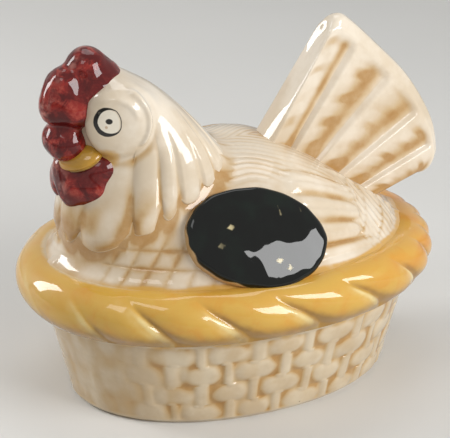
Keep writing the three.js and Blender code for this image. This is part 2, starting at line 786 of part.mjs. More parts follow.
// The origin is on the table under the middle of the whole length, tail included
const shaker = new THREE.Group();
shaker.position.x = (ropeHalfLength - tailReach) / 2;
for (const [name, [solid, finish]] of Object.entries(pieces)) {
  const material = new THREE.MeshStandardMaterial({ ...finish, metalness: 0 });
  const mesh = new THREE.Mesh(geometryOf(solid), material);
  mesh.name = name;
  shaker.add(mesh);
}

export default shaker;
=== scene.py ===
"""A hand-painted earthenware hen on an oval basket: a hollow salt shaker closed by a cork.

Sizes are in millimetres, in a frame whose origin lies on the table under the middle of the
basket. The meshes are made in metres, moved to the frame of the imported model.
"""

import logging
import math
from dataclasses import dataclass, field
from enum import Enum
from typing import Callable, Sequence, Union

import bpy
import numpy as np
from mathutils import Matrix, Vector


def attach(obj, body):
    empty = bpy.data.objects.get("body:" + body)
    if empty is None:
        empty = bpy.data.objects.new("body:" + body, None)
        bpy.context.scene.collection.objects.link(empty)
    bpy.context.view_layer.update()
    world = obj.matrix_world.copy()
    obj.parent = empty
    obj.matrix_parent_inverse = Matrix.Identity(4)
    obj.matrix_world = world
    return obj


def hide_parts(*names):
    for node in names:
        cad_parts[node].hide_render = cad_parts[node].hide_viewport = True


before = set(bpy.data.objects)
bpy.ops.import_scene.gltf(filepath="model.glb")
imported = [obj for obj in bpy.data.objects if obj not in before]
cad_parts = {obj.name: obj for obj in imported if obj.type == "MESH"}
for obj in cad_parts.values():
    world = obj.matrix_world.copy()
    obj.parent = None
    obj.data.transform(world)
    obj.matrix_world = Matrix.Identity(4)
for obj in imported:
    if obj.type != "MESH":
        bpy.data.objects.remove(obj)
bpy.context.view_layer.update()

log = logging.getLogger("shaker")

Array = np.ndarray
Row = Sequence[float]
Table = Sequence[Row]
Thing = bpy.types.Object
Finish = bpy.types.Material
Form = Callable[[Array], Array]  # distance from a surface, negative inside

MM = 0.001
TAU = 2.0 * math.pi
MIDDLE_X = -2.0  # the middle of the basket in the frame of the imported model
OVAL_POWER = 2.1
BASKET_HEIGHT = 19.8
SEAT_Z = 25.62  # where the hen stands inside the rope
CREST_Z = 29.22  # where the hen rises out of the rope
CHEEK_TURN = math.radians(25.0)
CAST_STEPS = 26
CAST_HALVINGS = 12
WAVES = 14


# Sums on whole arrays


def unit(value: Array) -> Array:
    """The value, kept between 0 and 1."""
    return np.clip(value, 0.0, 1.0)


def climb(value: Array, low: float, high: float) -> Array:
    """Rises from 0 at low to 1 at high, level at both ends."""
    t = unit((value - low) / (high - low))
    return t * t * (3.0 - 2.0 * t)


def drop(value: Array, low: float, high: float) -> Array:
    """Falls from 1 at low to 0 at high, level at both ends."""
    return 1.0 - climb(value, low, high)


def window(value: Array, start: float, full: float, last: float, end: float) -> Array:
    """Rises from 0 at start to 1 at full, and falls from 1 at last to 0 at end."""
    return climb(value, start, full) * drop(value, last, end)


def bump(value: Array, middle: float, width: float) -> Array:
    """A bell of height 1 about the middle: exp of minus the square of the distance over width."""
    return np.exp(-(((value - middle) / width) ** 2))


def smooth_min(a: Array, b: Array, blend: float) -> Array:
    """The lower of a and b, rounded off where they are within blend of each other."""
    h = unit(0.5 + 0.5 * (b - a) / blend)
    return b + (a - b) * h - blend * h * (1.0 - h)


def stack(*parts: Array) -> Array:
    """Joins x, y and z arrays into an array of points."""
    return np.stack(np.broadcast_arrays(*parts), axis=-1)


def angles(count: int) -> Array:
    """A row of equal steps round a circle, in radians."""
    return (np.arange(count) / count * TAU)[None, :]


def latitudes(*runs: tuple[float, float, int]) -> Array:
    """Runs of even steps, each from and to in degrees with their count, as one list in radians."""
    return np.radians(np.concatenate([np.linspace(*run) for run in runs]))


def follow(rows: Table, key: Array) -> Array:
    """Reads a table between its rows by a cubic whose slopes come from the neighbouring rows.

    Args:
        rows: the table; column 0 is the key, the other columns are the values.
        key: the keys to read at, of any shape.

    Returns:
        The values, with one more axis than key.
    """
    rows = np.asarray(rows, float)
    keys, values = rows[:, 0], rows[:, 1:]
    last = len(rows) - 1
    i = np.clip(np.searchsorted(keys, key, side="left") - 1, 0, last - 1)
    before, after = np.maximum(i - 1, 0), np.minimum(i + 2, last)
    span = (keys[i + 1] - keys[i])[..., None]
    t = (np.asarray(key) - keys[i])[..., None] / span
    slope_from = span * (values[i + 1] - values[before]) / (keys[i + 1] - keys[before])[..., None]
    slope_to = span * (values[after] - values[i]) / (keys[after] - keys[i])[..., None]
    near = values[i] * (2 * t**3 - 3 * t**2 + 1) + slope_from * (t**3 - 2 * t**2 + t)
    return near + values[i + 1] * (3 * t**2 - 2 * t**3) + slope_to * (t**3 - t**2)


def uneven(points: Array, size: float, seed: int) -> Array:
    """The slow unevenness of a hand-finished surface: a sum of sine waves in mixed directions.

    Args:
        points: places in millimetres, with the coordinates on the last axis.
        size: the usual length of a wave.
        seed: picks the directions, lengths and phases.

    Returns:
        A value between about -1 and 1 for each place.
    """
    rng = np.random.default_rng(seed)
    ways = rng.normal(size=(WAVES, 3))
    ways /= np.linalg.norm(ways, axis=1, keepdims=True)
    lengths = size * rng.uniform(0.7, 1.7, WAVES)
    phases = rng.uniform(0.0, TAU, WAVES)
    total = sum(np.sin(TAU * (points @ w) / n + f) for w, n, f in zip(ways, lengths, phases))
    return total / math.sqrt(2.0 * WAVES)


def oval(turn: Array, half_length: Array, half_width: Array) -> tuple[Array, Array]:
    """Points of a superellipse: cosine and sine to the power 2 over OVAL_POWER, signs kept.

    Args:
        turn: turns round the oval, from 0 to 1.
        half_length: reach along x.
        half_width: reach along y.

    Returns:
        The points' x and y.
    """
    cos, sin = np.cos(TAU * turn), np.sin(TAU * turn)
    power = 2.0 / OVAL_POWER
    x = half_length * np.sign(cos) * np.abs(cos) ** power
    return x, half_width * np.sign(sin) * np.abs(sin) ** power


def even_turns(count: int, half_length: float, half_width: float) -> Array:
    """A row of turns from 0 to 1 whose points lie at equal steps along an oval's edge.

    Args:
        count: how many points.
        half_length: the oval's reach along x.
        half_width: its reach along y.

    Returns:
        The turns.
    """
    fine = np.linspace(0.0, 1.0, 2881)
    x, y = oval(fine, half_length, half_width)
    way = np.concatenate([[0.0], np.cumsum(np.hypot(np.diff(x), np.diff(y)))])
    return np.interp(np.arange(count) / count * way[-1], way, fine)[None, :]


def cast(form: Form, start: Array, way: Array, reach: float) -> Array:
    """How far each ray runs from inside a form before it first leaves it.

    The rays are walked in equal steps to the first step outside, then halved to the edge.

    Args:
        form: the form to leave.
        start: where the rays start.
        way: their directions, of unit length.
        reach: the longest ray.

    Returns:
        The length of each ray.
    """
    shape = way.shape[:-1]
    low, high = np.zeros(shape), np.full(shape, reach)
    inside = np.ones(shape, bool)
    for k in range(1, CAST_STEPS + 1):
        t = reach * k / CAST_STEPS
        outside = form(start + way * t) > 0.0
        first = inside & outside
        low[first], high[first] = reach * (k - 1) / CAST_STEPS, t
        inside &= ~outside
    for _ in range(CAST_HALVINGS):
        middle = 0.5 * (low + high)
        outside = form(start + way * middle[..., None]) > 0.0
        high = np.where(outside, middle, high)
        low = np.where(outside, low, middle)
    return 0.5 * (low + high)


def star(form: Form, start: Row, radii: Row, rows: Array, columns: int, reach: float) -> Array:
    """A closed form seen from a point inside it, as a globe with its poles along Z.

    The direction at a latitude and a turn is that of an ellipsoid's point, and the ray is cast to
    the form's edge.

    Args:
        form: the form.
        start: the point inside.
        radii: the ellipsoid that spaces the directions.
        rows: latitudes in radians, without the poles.
        columns: points round each row.
        reach: longer than the longest ray.

    Returns:
        The grid's points.
    """
    latitude, turn = rows[:, None], angles(columns)
    flat = np.cos(latitude)
    way = stack(flat * np.cos(turn) * radii[0], flat * np.sin(turn) * radii[1], np.sin(latitude) * radii[2])
    way /= np.linalg.norm(way, axis=-1, keepdims=True)
    origin = np.asarray(start, float)
    return origin + way * cast(form, origin, way, reach)[..., None]


def pushed(points: Array, height: Array) -> Array:
    """Moves a grid whose columns close outwards along its normals.

    A normal is the cross product of the differences between neighbours along and down the grid.

    Args:
        points: the grid's points.
        height: how far each one moves.

    Returns:
        The moved points.
    """
    along = np.roll(points, -1, axis=1) - np.roll(points, 1, axis=1)
    cross = np.cross(along, np.gradient(points, axis=0))
    cross /= np.linalg.norm(cross, axis=-1, keepdims=True) + 1e-9
    middle = points.reshape(-1, 3).mean(axis=0)
    outward = np.einsum("ijk,ijk->ij", cross, points - middle).sum()
    return points + (cross if outward > 0.0 else -cross) * height[..., None]


# Grids into meshes


@dataclass
class Grid:
    """Points on a grid of rows and columns, with a value for each point in each of its layers."""

    points: Array
    layers: dict[str, Array] = field(default_factory=dict)
    rows_close: bool = False

    def vertices(self) -> Array:
        """The points as a list, with the two poles last where the rows don't close."""
        poles = [] if self.rows_close else [self.points[0].mean(axis=0), self.points[-1].mean(axis=0)]
        return np.vstack([self.points.reshape(-1, 3), *poles])

    def layer(self, name: str) -> Array:
        """A layer's values in the order of vertices(); 0 where the grid hasn't that layer."""
        values = np.broadcast_to(self.layers.get(name, np.zeros(1)), self.points.shape[:2])
        poles = [] if self.rows_close else [values[0].mean(), values[-1].mean()]
        return np.concatenate([values.ravel(), poles])

    def faces(self) -> tuple[Array, Array]:
        """Quads between neighbouring rows, and the triangles that close the two poles.

        Returns:
            The quads and the triangles, as rows of indices into vertices().
        """
        rows, columns = self.points.shape[:2]
        row = np.arange(rows if self.rows_close else rows - 1)[:, None]
        here, right = np.arange(columns), (np.arange(columns) + 1) % columns
        above, below = row * columns, (row + 1) % rows * columns
        quads = stack(above + here, above + right, below + right, below + here).reshape(-1, 4)
        if self.rows_close:
            return quads, np.empty((0, 3), int)
        pole = rows * columns
        last = pole - columns
        return quads, np.vstack([stack(pole, right, here), stack(pole + 1, last + here, last + right)])


def volume_of(points: Array, quads: Array, triangles: Array) -> float:
    """Six times the volume inside the faces, negative where they point inwards.

    Args:
        points: the vertices.
        quads: faces of four, each taken as two halves.
        triangles: faces of three.

    Returns:
        The sum of each half's corner times the cross product of its other two.
    """
    halves = np.vstack([triangles, quads[:, [0, 1, 2]], quads[:, [0, 2, 3]]])
    a, b, c = (points[halves[:, k]] for k in range(3))
    return float(np.einsum("ij,ij->", a, np.cross(b, c)))


def into_scene(name: str, data: bpy.types.ID) -> Thing:
    """Makes an object of a mesh, a lamp or a camera and links it into the scene."""
    made = bpy.data.objects.new(name, data)
    bpy.context.scene.collection.objects.link(made)
    return made


def mesh_of(name: str, grid: Grid, layers: Sequence[str], crease: float) -> Thing:
    """Makes a mesh object of a grid, in metres, with its layers as point attributes.

    Args:
        name: the piece's name.
        grid: the closed surface.
        layers: names of the attributes that its finish reads.
        crease: edges sharper than this many degrees are shaded as edges.

    Returns:
        The object, linked into the scene.
    """
    vertices = grid.vertices()
    quads, triangles = grid.faces()
    if volume_of(vertices, quads, triangles) < 0.0:
        quads, triangles = quads[:, ::-1], triangles[:, ::-1]
    place = (vertices + np.array([MIDDLE_X, 0.0, 0.0])) * MM
    corners = np.concatenate([quads.ravel(), triangles.ravel()]).astype(np.int32)
    sizes = np.repeat([4, 3], [len(quads), len(triangles)])
    mesh = bpy.data.meshes.new(name)
    mesh.vertices.add(len(place))
    mesh.vertices.foreach_set("co", place.astype(np.float32).ravel())
    mesh.loops.add(len(corners))
    mesh.loops.foreach_set("vertex_index", corners)
    mesh.polygons.add(len(sizes))
    mesh.polygons.foreach_set("loop_start", (np.cumsum(sizes) - sizes).astype(np.int32))
    mesh.polygons.foreach_set("use_smooth", np.ones(len(sizes), bool))
    mesh.update(calc_edges=True)
    mesh.validate()
    mesh.set_sharp_from_angle(angle=math.radians(crease))
    for key in layers:
        attribute = mesh.attributes.new(key, "FLOAT", "POINT")
        attribute.data.foreach_set("value", grid.layer(key).astype(np.float32))
    return into_scene(name, mesh)


def cut(piece: Thing, tool: Thing) -> None:
    """Takes a tool's shape out of a piece and keeps the result in its mesh.

    Args:
        piece: the piece, whose mesh is replaced.
        tool: the closed shape that is taken out.
    """
    modifier = piece.modifiers.new("cut", "BOOLEAN")
    modifier.operation = "DIFFERENCE"
    modifier.object = tool
    modifier.solver = "MANIFOLD"
    bpy.context.view_layer.update()
    graph = bpy.context.evaluated_depsgraph_get()
    mesh = bpy.data.meshes.new_from_object(piece.evaluated_get(graph))
    piece.modifiers.clear()
    piece.data = mesh


# Shader maths


def add_node(tree: bpy.types.NodeTree, kind: str, settings: dict, inputs: dict) -> bpy.types.Node:
    """Adds a node to a material.

    Args:
        tree: the material's node tree.
        kind: the node's type.
        settings: properties to set first.
        inputs: a value or a Term for each socket, by name or number.

    Returns:
        The node.
    """
    node = tree.nodes.new(kind)
    for key, value in settings.items():
        setattr(node, key, value)
    for key, value in inputs.items():
        if isinstance(value, Term):
            tree.links.new(value.socket, node.inputs[key])
        else:
            node.inputs[key].default_value = value
    return node


class Term:
    """A socket's value in shader maths. The operators add Math nodes to the material."""

    def __init__(self, tree: bpy.types.NodeTree, socket: bpy.types.NodeSocket) -> None:
        """Keeps the node tree and the output socket."""
        self.tree = tree
        self.socket = socket

    def math(self, operation: str, *others: "Scalar") -> "Term":
        """A Math node of that operation on this value and the others."""
        inputs = dict(enumerate((self, *others)))
        node = add_node(self.tree, "ShaderNodeMath", {"operation": operation}, inputs)
        return Term(self.tree, node.outputs[0])

    def __add__(self, other: "Scalar") -> "Term":
        """Sum."""
        return self.math("ADD", other)

    __radd__ = __add__

    def __mul__(self, other: "Scalar") -> "Term":
        """Product."""
        return self.math("MULTIPLY", other)

    __rmul__ = __mul__

    def __sub__(self, other: "Scalar") -> "Term":
        """Difference."""
        return self.math("SUBTRACT", other)

    def __rsub__(self, other: float) -> "Term":
        """Difference from a number."""
        return self.math("MULTIPLY_ADD", -1.0, other)

    def __abs__(self) -> "Term":
        """Size without its sign."""
        return self.math("ABSOLUTE")

    def between(self, low: float, high: float) -> "Term":
        """Rises from 0 at low to 1 at high, level at both ends; falls where low is the higher.

        Args:
            low: the value that gives 0.
            high: the value that gives 1.

        Returns:
            The share between them.
        """
        node = add_node(self.tree, "ShaderNodeMapRange", {"interpolation_type": "SMOOTHSTEP"}, {
            "Value": self,
            "From Min": min(low, high),
            "From Max": max(low, high),
            "To Min": float(low > high),
            "To Max": float(low <= high),
        })
        return Term(self.tree, node.outputs["Result"])


Scalar = Union[Term, float]
Colour = tuple[float, float, float]


def linear(colour: Colour) -> tuple[float, float, float, float]:
    """A colour written as 0 to 255 on a screen, in the linear light that the shaders use."""
    shares = [c / 255.0 for c in colour]
    return (*(s / 12.92 if s <= 0.04045 else ((s + 0.055) / 1.055) ** 2.4 for s in shares), 1.0)


class Painter:
    """Builds one material's nodes and keeps the colour that is painted so far."""

    colour: Term

    def __init__(self, name: str) -> None:
        """Makes the material with its Principled shader and its object coordinates."""
        self.material = bpy.data.materials.new(name)
        self.material.use_nodes = True
        self.tree = self.material.node_tree
        self.shader = self.tree.nodes["Principled BSDF"]
        self.place = self.add("ShaderNodeTexCoord", {}, {}, "Object")

    def add(self, kind: str, settings: dict, inputs: dict, output: Union[str, int]) -> Term:
        """Adds a node and gives one of its outputs."""
        return Term(self.tree, add_node(self.tree, kind, settings, inputs).outputs[output])

    def layer(self, name: str) -> Term:
        """The mesh attribute of that name."""
        return self.add("ShaderNodeAttribute", {"attribute_name": name}, {}, "Fac")

    def axes(self) -> tuple[Term, Term, Term]:
        """The place's x, y and z in millimetres, in the frame of this file."""
        made = add_node(self.tree, "ShaderNodeSeparateXYZ", {}, {"Vector": self.place})
        x, y, z = (Term(self.tree, s) * (1.0 / MM) for s in made.outputs)
        return x - MIDDLE_X, y, z

    def moved(self, shift: Row, stretch: Row = (1.0, 1.0, 1.0)) -> Term:
        """The place, stretched and then shifted, so that two textures of one kind differ."""
        inputs = {"Vector": self.place, "Location": tuple(shift), "Scale": tuple(stretch)}
        return self.add("ShaderNodeMapping", {}, inputs, "Vector")

    def noise(self, size: float, detail: float, rough: float = 0.5, warp: float = 0.0,
              stretch: Row = (1.0, 1.0, 1.0), shift: float = 0.0) -> Term:
        """Cloudy noise.

        Args:
            size: the grain's size.
            detail: octaves of finer grain.
            rough: how strong the finer grain is.
            warp: how far the grain is bent.
            stretch: scale along each axis.
            shift: moves the pattern, so that two noises differ.

        Returns:
            A value from 0 to 1.
        """
        return self.add("ShaderNodeTexNoise", {}, {
            "Vector": self.moved((shift, 0.7 * shift, 0.3 * shift), stretch),
            "Scale": 1.0 / (size * MM),
            "Detail": detail,
            "Roughness": rough,
            "Distortion": warp,
        }, "Fac")

    def patchy(self, name: str, size: float, shift: float, gain: float, least: float) -> Term:
        """A mesh layer times a noise of that size and shift, the noise times gain, plus least."""
        return self.layer(name) * (self.noise(size, 3.0, shift=shift) * gain + least)

    def specks(self, spacing: float, radius: float, few: float = 0.6, metric: str = "EUCLIDEAN",
               shift: float = 0.0) -> Term:
        """Specks about those of a Voronoi texture's points where a slow noise is over few.

        Args:
            spacing: the usual distance between the points.
            radius: where a speck ends.
            few: the noise that a point needs.
            metric: how the distance is measured, which sets the specks' outline.
            shift: moves the pattern.

        Returns:
            1 within a speck, 0 outside.
        """
        inputs = {"Vector": self.moved((shift, shift, shift)), "Scale": 1.0 / (spacing * MM)}
        away = self.add("ShaderNodeTexVoronoi", {"distance": metric}, inputs, "Distance") * spacing
        some = self.noise(spacing * 1.7, 1.0, shift=shift + 3.0).between(few - 0.05, few + 0.05)
        return away.between(radius, 0.45 * radius) * some

    def mix(self, share: Scalar, low: Union[Term, Row], high: Row) -> Term:
        """A Mix node on two colours."""
        return self.add("ShaderNodeMix", {"data_type": "RGBA"}, {0: share, 6: low, 7: high}, 2)

    def ground(self, share: Scalar, low: Colour, high: Colour) -> None:
        """Starts the paint with a blend of two colours."""
        self.colour = self.mix(share, linear(low), linear(high))

    def coat(self, share: Scalar, colour: Colour) -> None:
        """Lays a colour over the paint, as thick as share."""
        self.colour = self.mix(share, self.colour, linear(colour))

    def relief(self, height: Term, depth: float) -> None:
        """Bumps the surface by a height between 0 and 1, depth millimetres deep."""
        inputs = {"Strength": 1.0, "Distance": depth * MM, "Height": height}
        normal = self.add("ShaderNodeBump", {}, inputs, "Normal")
        self.tree.links.new(normal.socket, self.shader.inputs["Normal"])

    def finish(self, roughness: Scalar, **sockets: float) -> Finish:
        """Closes the material.

        Args:
            roughness: the shader's roughness.
            sockets: values of its other sockets, with _ for a space.

        Returns:
            The material.
        """
        self.tree.links.new(self.colour.socket, self.shader.inputs["Base Color"])
        if isinstance(roughness, Term):
            self.tree.links.new(roughness.socket, self.shader.inputs["Roughness"])
        else:
            sockets["Roughness"] = roughness
        for key, value in sockets.items():
            self.shader.inputs[key.replace("_", " ")].default_value = value
        return self.material


@dataclass(frozen=True)
class Glaze:
    """What all the clear-glazed finishes share."""

    body_roughness: float = 0.32
    coat: float = 1.0
    coat_roughness: float = 0.03
    body_gloss: float = 0.15
    ripple: float = 0.045
    speck: Colour = (98, 66, 38)

    def lay(self, painter: Painter) -> None:
        """Paints the colours under the glaze."""
        raise NotImplementedError

    def dress(self, name: str) -> Finish:
        """The finish of a piece: the colours, then firing specks and the glaze's faint ripple.

        Args:
            name: the material's name.

        Returns:
            The material.
        """
        painter = Painter(name)
        self.lay(painter)
        painter.coat(painter.specks(7.5, 0.28) * 0.7, self.speck)
        painter.relief(painter.noise(3.2, 2.0), self.ripple)
        roughness = painter.noise(9.0, 2.0).between(0.2, 0.8) * 0.12 + self.body_roughness
        return painter.finish(roughness, Coat_Weight=self.coat, Coat_Roughness=self.coat_roughness,
                              Specular_IOR_Level=self.body_gloss)


@dataclass(frozen=True)
class CreamGlaze(Glaze):
    """Cream body with tan and orange-brown colour washed into its hollows, and painted shade in creases,
    under overhangs and at the seam.
    """

    pale: Colour = (230, 218, 200)
    cream: Colour = (213, 196, 171)
    tan: Colour = (188, 151, 92)
    brown: Colour = (163, 113, 42)
    yellow: Colour = (202, 154, 62)
    # Painted shade: a dark line at the seam under the rope.
    seam_shade: Colour = (104, 76, 44)

    def lay(self, painter: Painter) -> None:
        """Paints broad mottling, then the wash layer of washes and painted shade, deepest where its noise is
        high.
        """
        painter.ground(painter.noise(11.0, 4.0, 0.6).between(0.35, 0.66), self.cream, self.pale)
        wash = painter.layer("wash")
        cloud = painter.noise(3.4, 4.0, 0.6, shift=5.0) * 0.7
        painter.coat((wash * (cloud + 0.55)).between(0.08, 0.9) * 0.8, self.tan)
        painter.coat((wash * wash * (cloud + 0.4)).between(0.38, 1.0) * 0.8, self.brown)
        painter.coat(painter.patchy("yellow", 2.6, 9.0, 1.1, 0.35).between(0.2, 0.8) * 0.85, self.yellow)
        # The line layer is a dark line painted at the seam under the rope: painted shade.
        painter.coat(painter.layer("line") * 0.7, self.seam_shade)


@dataclass(frozen=True)
class FaceGlaze(CreamGlaze):
    """The cream glaze of the head, with an eye brushed on each cheek."""

    eye: Row = (-27.75, -8.75, 59.25)
    cheek_turn: float = CHEEK_TURN
    line: Colour = (20, 17, 13)
    eye_white: Colour = (234, 227, 211)

    def lay(self, painter: Painter) -> None:
        """Paints the cream, then the eye: its white, a fleck, the pupil, and a ring of uneven width.

        The ring lies between two distances from the eye's middle. The inner one shrinks to one
        side, so the brush line is widest there.
        """
        super().lay(painter)
        x, y, z = painter.axes()
        across = (x - self.eye[0]) * math.cos(self.cheek_turn)
        across = across + (abs(y) + self.eye[1]) * math.sin(self.cheek_turn)
        up = z - self.eye[2]
        wander = painter.noise(2.2, 2.0) * 0.4 - 0.2
        away = (across * across + up * up * 0.88).math("SQRT") + wander
        inner = (across * -1.0 - up * 0.25).between(-2.4, 1.9) * -0.68 + 2.47
        ring = (away - inner).between(-0.07, 0.05) * away.between(2.68, 2.56)
        pupil_x, pupil_y = across - 0.3, up * 1.1 - 0.2
        spread = (pupil_x * pupil_x * 0.75 + pupil_y * pupil_y).math("SQRT")
        pupil = (spread + wander * 0.5).between(0.64, 0.48)
        fleck_x, fleck_y = across + 0.25, up + 0.95
        fleck = (fleck_x * fleck_x + fleck_y * fleck_y).math("SQRT").between(0.36, 0.18)
        painter.coat(away.between(2.4, 2.1) * 0.8, self.eye_white)
        painter.coat(fleck * 0.55, self.brown)
        thick = painter.noise(0.8, 2.0).between(0.12, 0.4) * 0.25 + 0.75
        painter.coat(ring.math("MAXIMUM", pupil) * thick, self.line)


@dataclass(frozen=True)
class YellowGlaze(Glaze):
    """Yellow brushed over cream, thin on the ridges and brown in the grooves; undersides carry painted shade,
    and the beak's top a painted highlight.
    """

    yellow: Colour = (208, 164, 70)
    pale: Colour = (227, 206, 146)
    orange: Colour = (209, 136, 30)
    brown: Colour = (136, 98, 44)
    cream: Colour = (210, 188, 148)

    def lay(self, painter: Painter) -> None:
        """Paints streaky yellow, warm patches, thin ridges, brown grooves with painted shade, and bare cream.
        """
        streak = painter.noise(5.0, 4.0, 0.6, 0.6)
        painter.ground(streak.between(0.45, 0.75) * 0.4, self.yellow, self.orange)
        painter.coat(painter.layer("warm") * (streak * 0.9 + 0.25), self.orange)
        painter.coat(painter.patchy("thin", 2.4, 4.0, 0.9, 0.4).between(0.15, 0.9) * 0.85, self.pale)
        painter.coat(painter.patchy("wash", 2.0, 2.0, 0.7, 0.55).between(0.18, 1.0) * 0.75, self.brown)
        painter.coat(painter.patchy("bare", 2.8, 7.0, 1.0, 0.3).between(0.3, 0.75), self.cream)


@dataclass(frozen=True)
class RedGlaze(Glaze):
    """Iron red dabbed on in coats: dark in the hollows, pinkish where it runs thin; on the wattles the dark
    also stands for painted shade and the pink for a painted highlight.
    """

    red: Colour = (142, 36, 30)
    dark: Colour = (84, 13, 13)
    light: Colour = (184, 88, 72)
    pink: Colour = (204, 138, 126)
    body_gloss: float = 0.0
    coat: float = 0.8
    ripple: float = 0.07

    def lay(self, painter: Painter) -> None:
        """Paints dabs of dark and red, fine light grain, the hollows with painted shade, and the thin places
        with painted highlights.
        """
        dabs = painter.noise(3.6, 5.0, 0.65, 0.8)
        fine = painter.noise(0.9, 3.0, 0.7, shift=3.0)
        painter.ground(dabs.between(0.4, 0.6), self.dark, self.red)
        painter.coat((dabs * 0.6 + fine * 0.55).between(0.56, 0.78) * 0.6, self.light)
        painter.coat(painter.layer("wash") * (dabs * 0.5 + 0.5), self.dark)
        runs = painter.noise(2.2, 3.0, shift=6.0).between(0.46, 0.66)
        painter.coat(painter.layer("thin") * runs * 0.7, self.pink)


@dataclass(frozen=True)
class BlackGlaze(Glaze):
    """Near-black glaze with a green cast, a few worn gilt flecks and a bare cream edge."""

    black: Colour = (6, 8, 6)
    green: Colour = (12, 26, 18)
    gilt: Colour = (198, 184, 142)
    cream: Colour = (202, 168, 120)
    body_gloss: float = 0.0
    coat: float = 0.75

    def lay(self, painter: Painter) -> None:
        """Paints the black with its green cast and worn edge, the flecks and the bare wall."""
        painter.ground(painter.noise(5.0, 3.0).between(0.45, 0.75) * 0.6, self.black, self.green)
        worn = painter.noise(1.3, 3.0, shift=4.0).between(0.4, 0.7)
        painter.coat(painter.layer("thin") * worn * 0.5, self.green)
        flecks = painter.specks(3.8, 1.05, 0.5, "MANHATTAN", 0.0125)
        flecks = flecks * painter.noise(0.8, 2.0).between(0.34, 0.44)
        painter.coat(flecks * painter.layer("inner"), self.gilt)
        painter.coat(painter.layer("bare"), self.cream)


@dataclass(frozen=True)
class CorkBark:
    """Cork bark: warm tan grain with darker pores."""

    tan: Colour = (186, 142, 96)
    dark: Colour = (112, 72, 42)
    pore: Colour = (60, 38, 24)
    pore_depth: float = 0.25

    def dress(self, name: str) -> Finish:
        """The finish of the stopper.

        Args:
            name: the material's name.

        Returns:
            The material.
        """
        painter = Painter(name)
        grain = painter.noise(1.6, 5.0, 0.7)
        painter.ground(grain.between(0.35, 0.7), self.dark, self.tan)
        pores = painter.noise(1.1, 2.0, shift=3.0, stretch=(1.0, 1.0, 2.2)).between(0.36, 0.28)
        painter.coat(pores, self.pore)
        painter.relief(grain - pores, self.pore_depth)
        return painter.finish(grain * 0.2 + 0.7)


# Pieces


class Slot(Enum):
    """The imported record's material slots."""

    CREAM = "cream_glaze"
    YELLOW = "yellow_glaze"
    RED = "red_glaze"
    BEAK = "beak_glaze"
    BLACK = "black_glaze"
    CORK = "cork"


class Body(Enum):
    """The rigid bodies that pieces ride on."""

    POT = "pot"
    STOPPER = "stopper"


@dataclass(frozen=True)
class Label:
    """What a piece is called, what it stands for and which layers its finish reads."""

    name: str
    node: str
    slot: Slot
    finish: str
    layers: Sequence[str]
    crease: float = 80.0
    body: Body = Body.POT

    def mesh(self, grid: Grid) -> Thing:
        """The piece's mesh object, still bare."""
        return mesh_of(self.name, grid, self.layers, self.crease)

    def seat(self, piece: Thing, finish: Finish) -> None:
        """Gives a piece its finish and body, and hides the imported part of the node it stands for.

        Args:
            piece: the piece's object.
            finish: its material.
        """
        piece.data.materials.clear()
        piece.data.materials.append(finish)
        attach(piece, self.body.value)
        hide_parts(self.node)
        log.info("%s: %d faces on %s", piece.name, len(piece.data.polygons), self.body.value)


class Piece:
    """A sub-assembly of one piece: a closed surface, dressed in a finish."""

    label: Label
    glaze: Union[Glaze, CorkBark]

    def grid(self) -> Grid:
        """The piece's surface."""
        raise NotImplementedError

    def build(self) -> None:
        """Makes the mesh, dresses it and seats it."""
        self.label.seat(self.label.mesh(self.grid()), self.glaze.dress(self.label.finish))


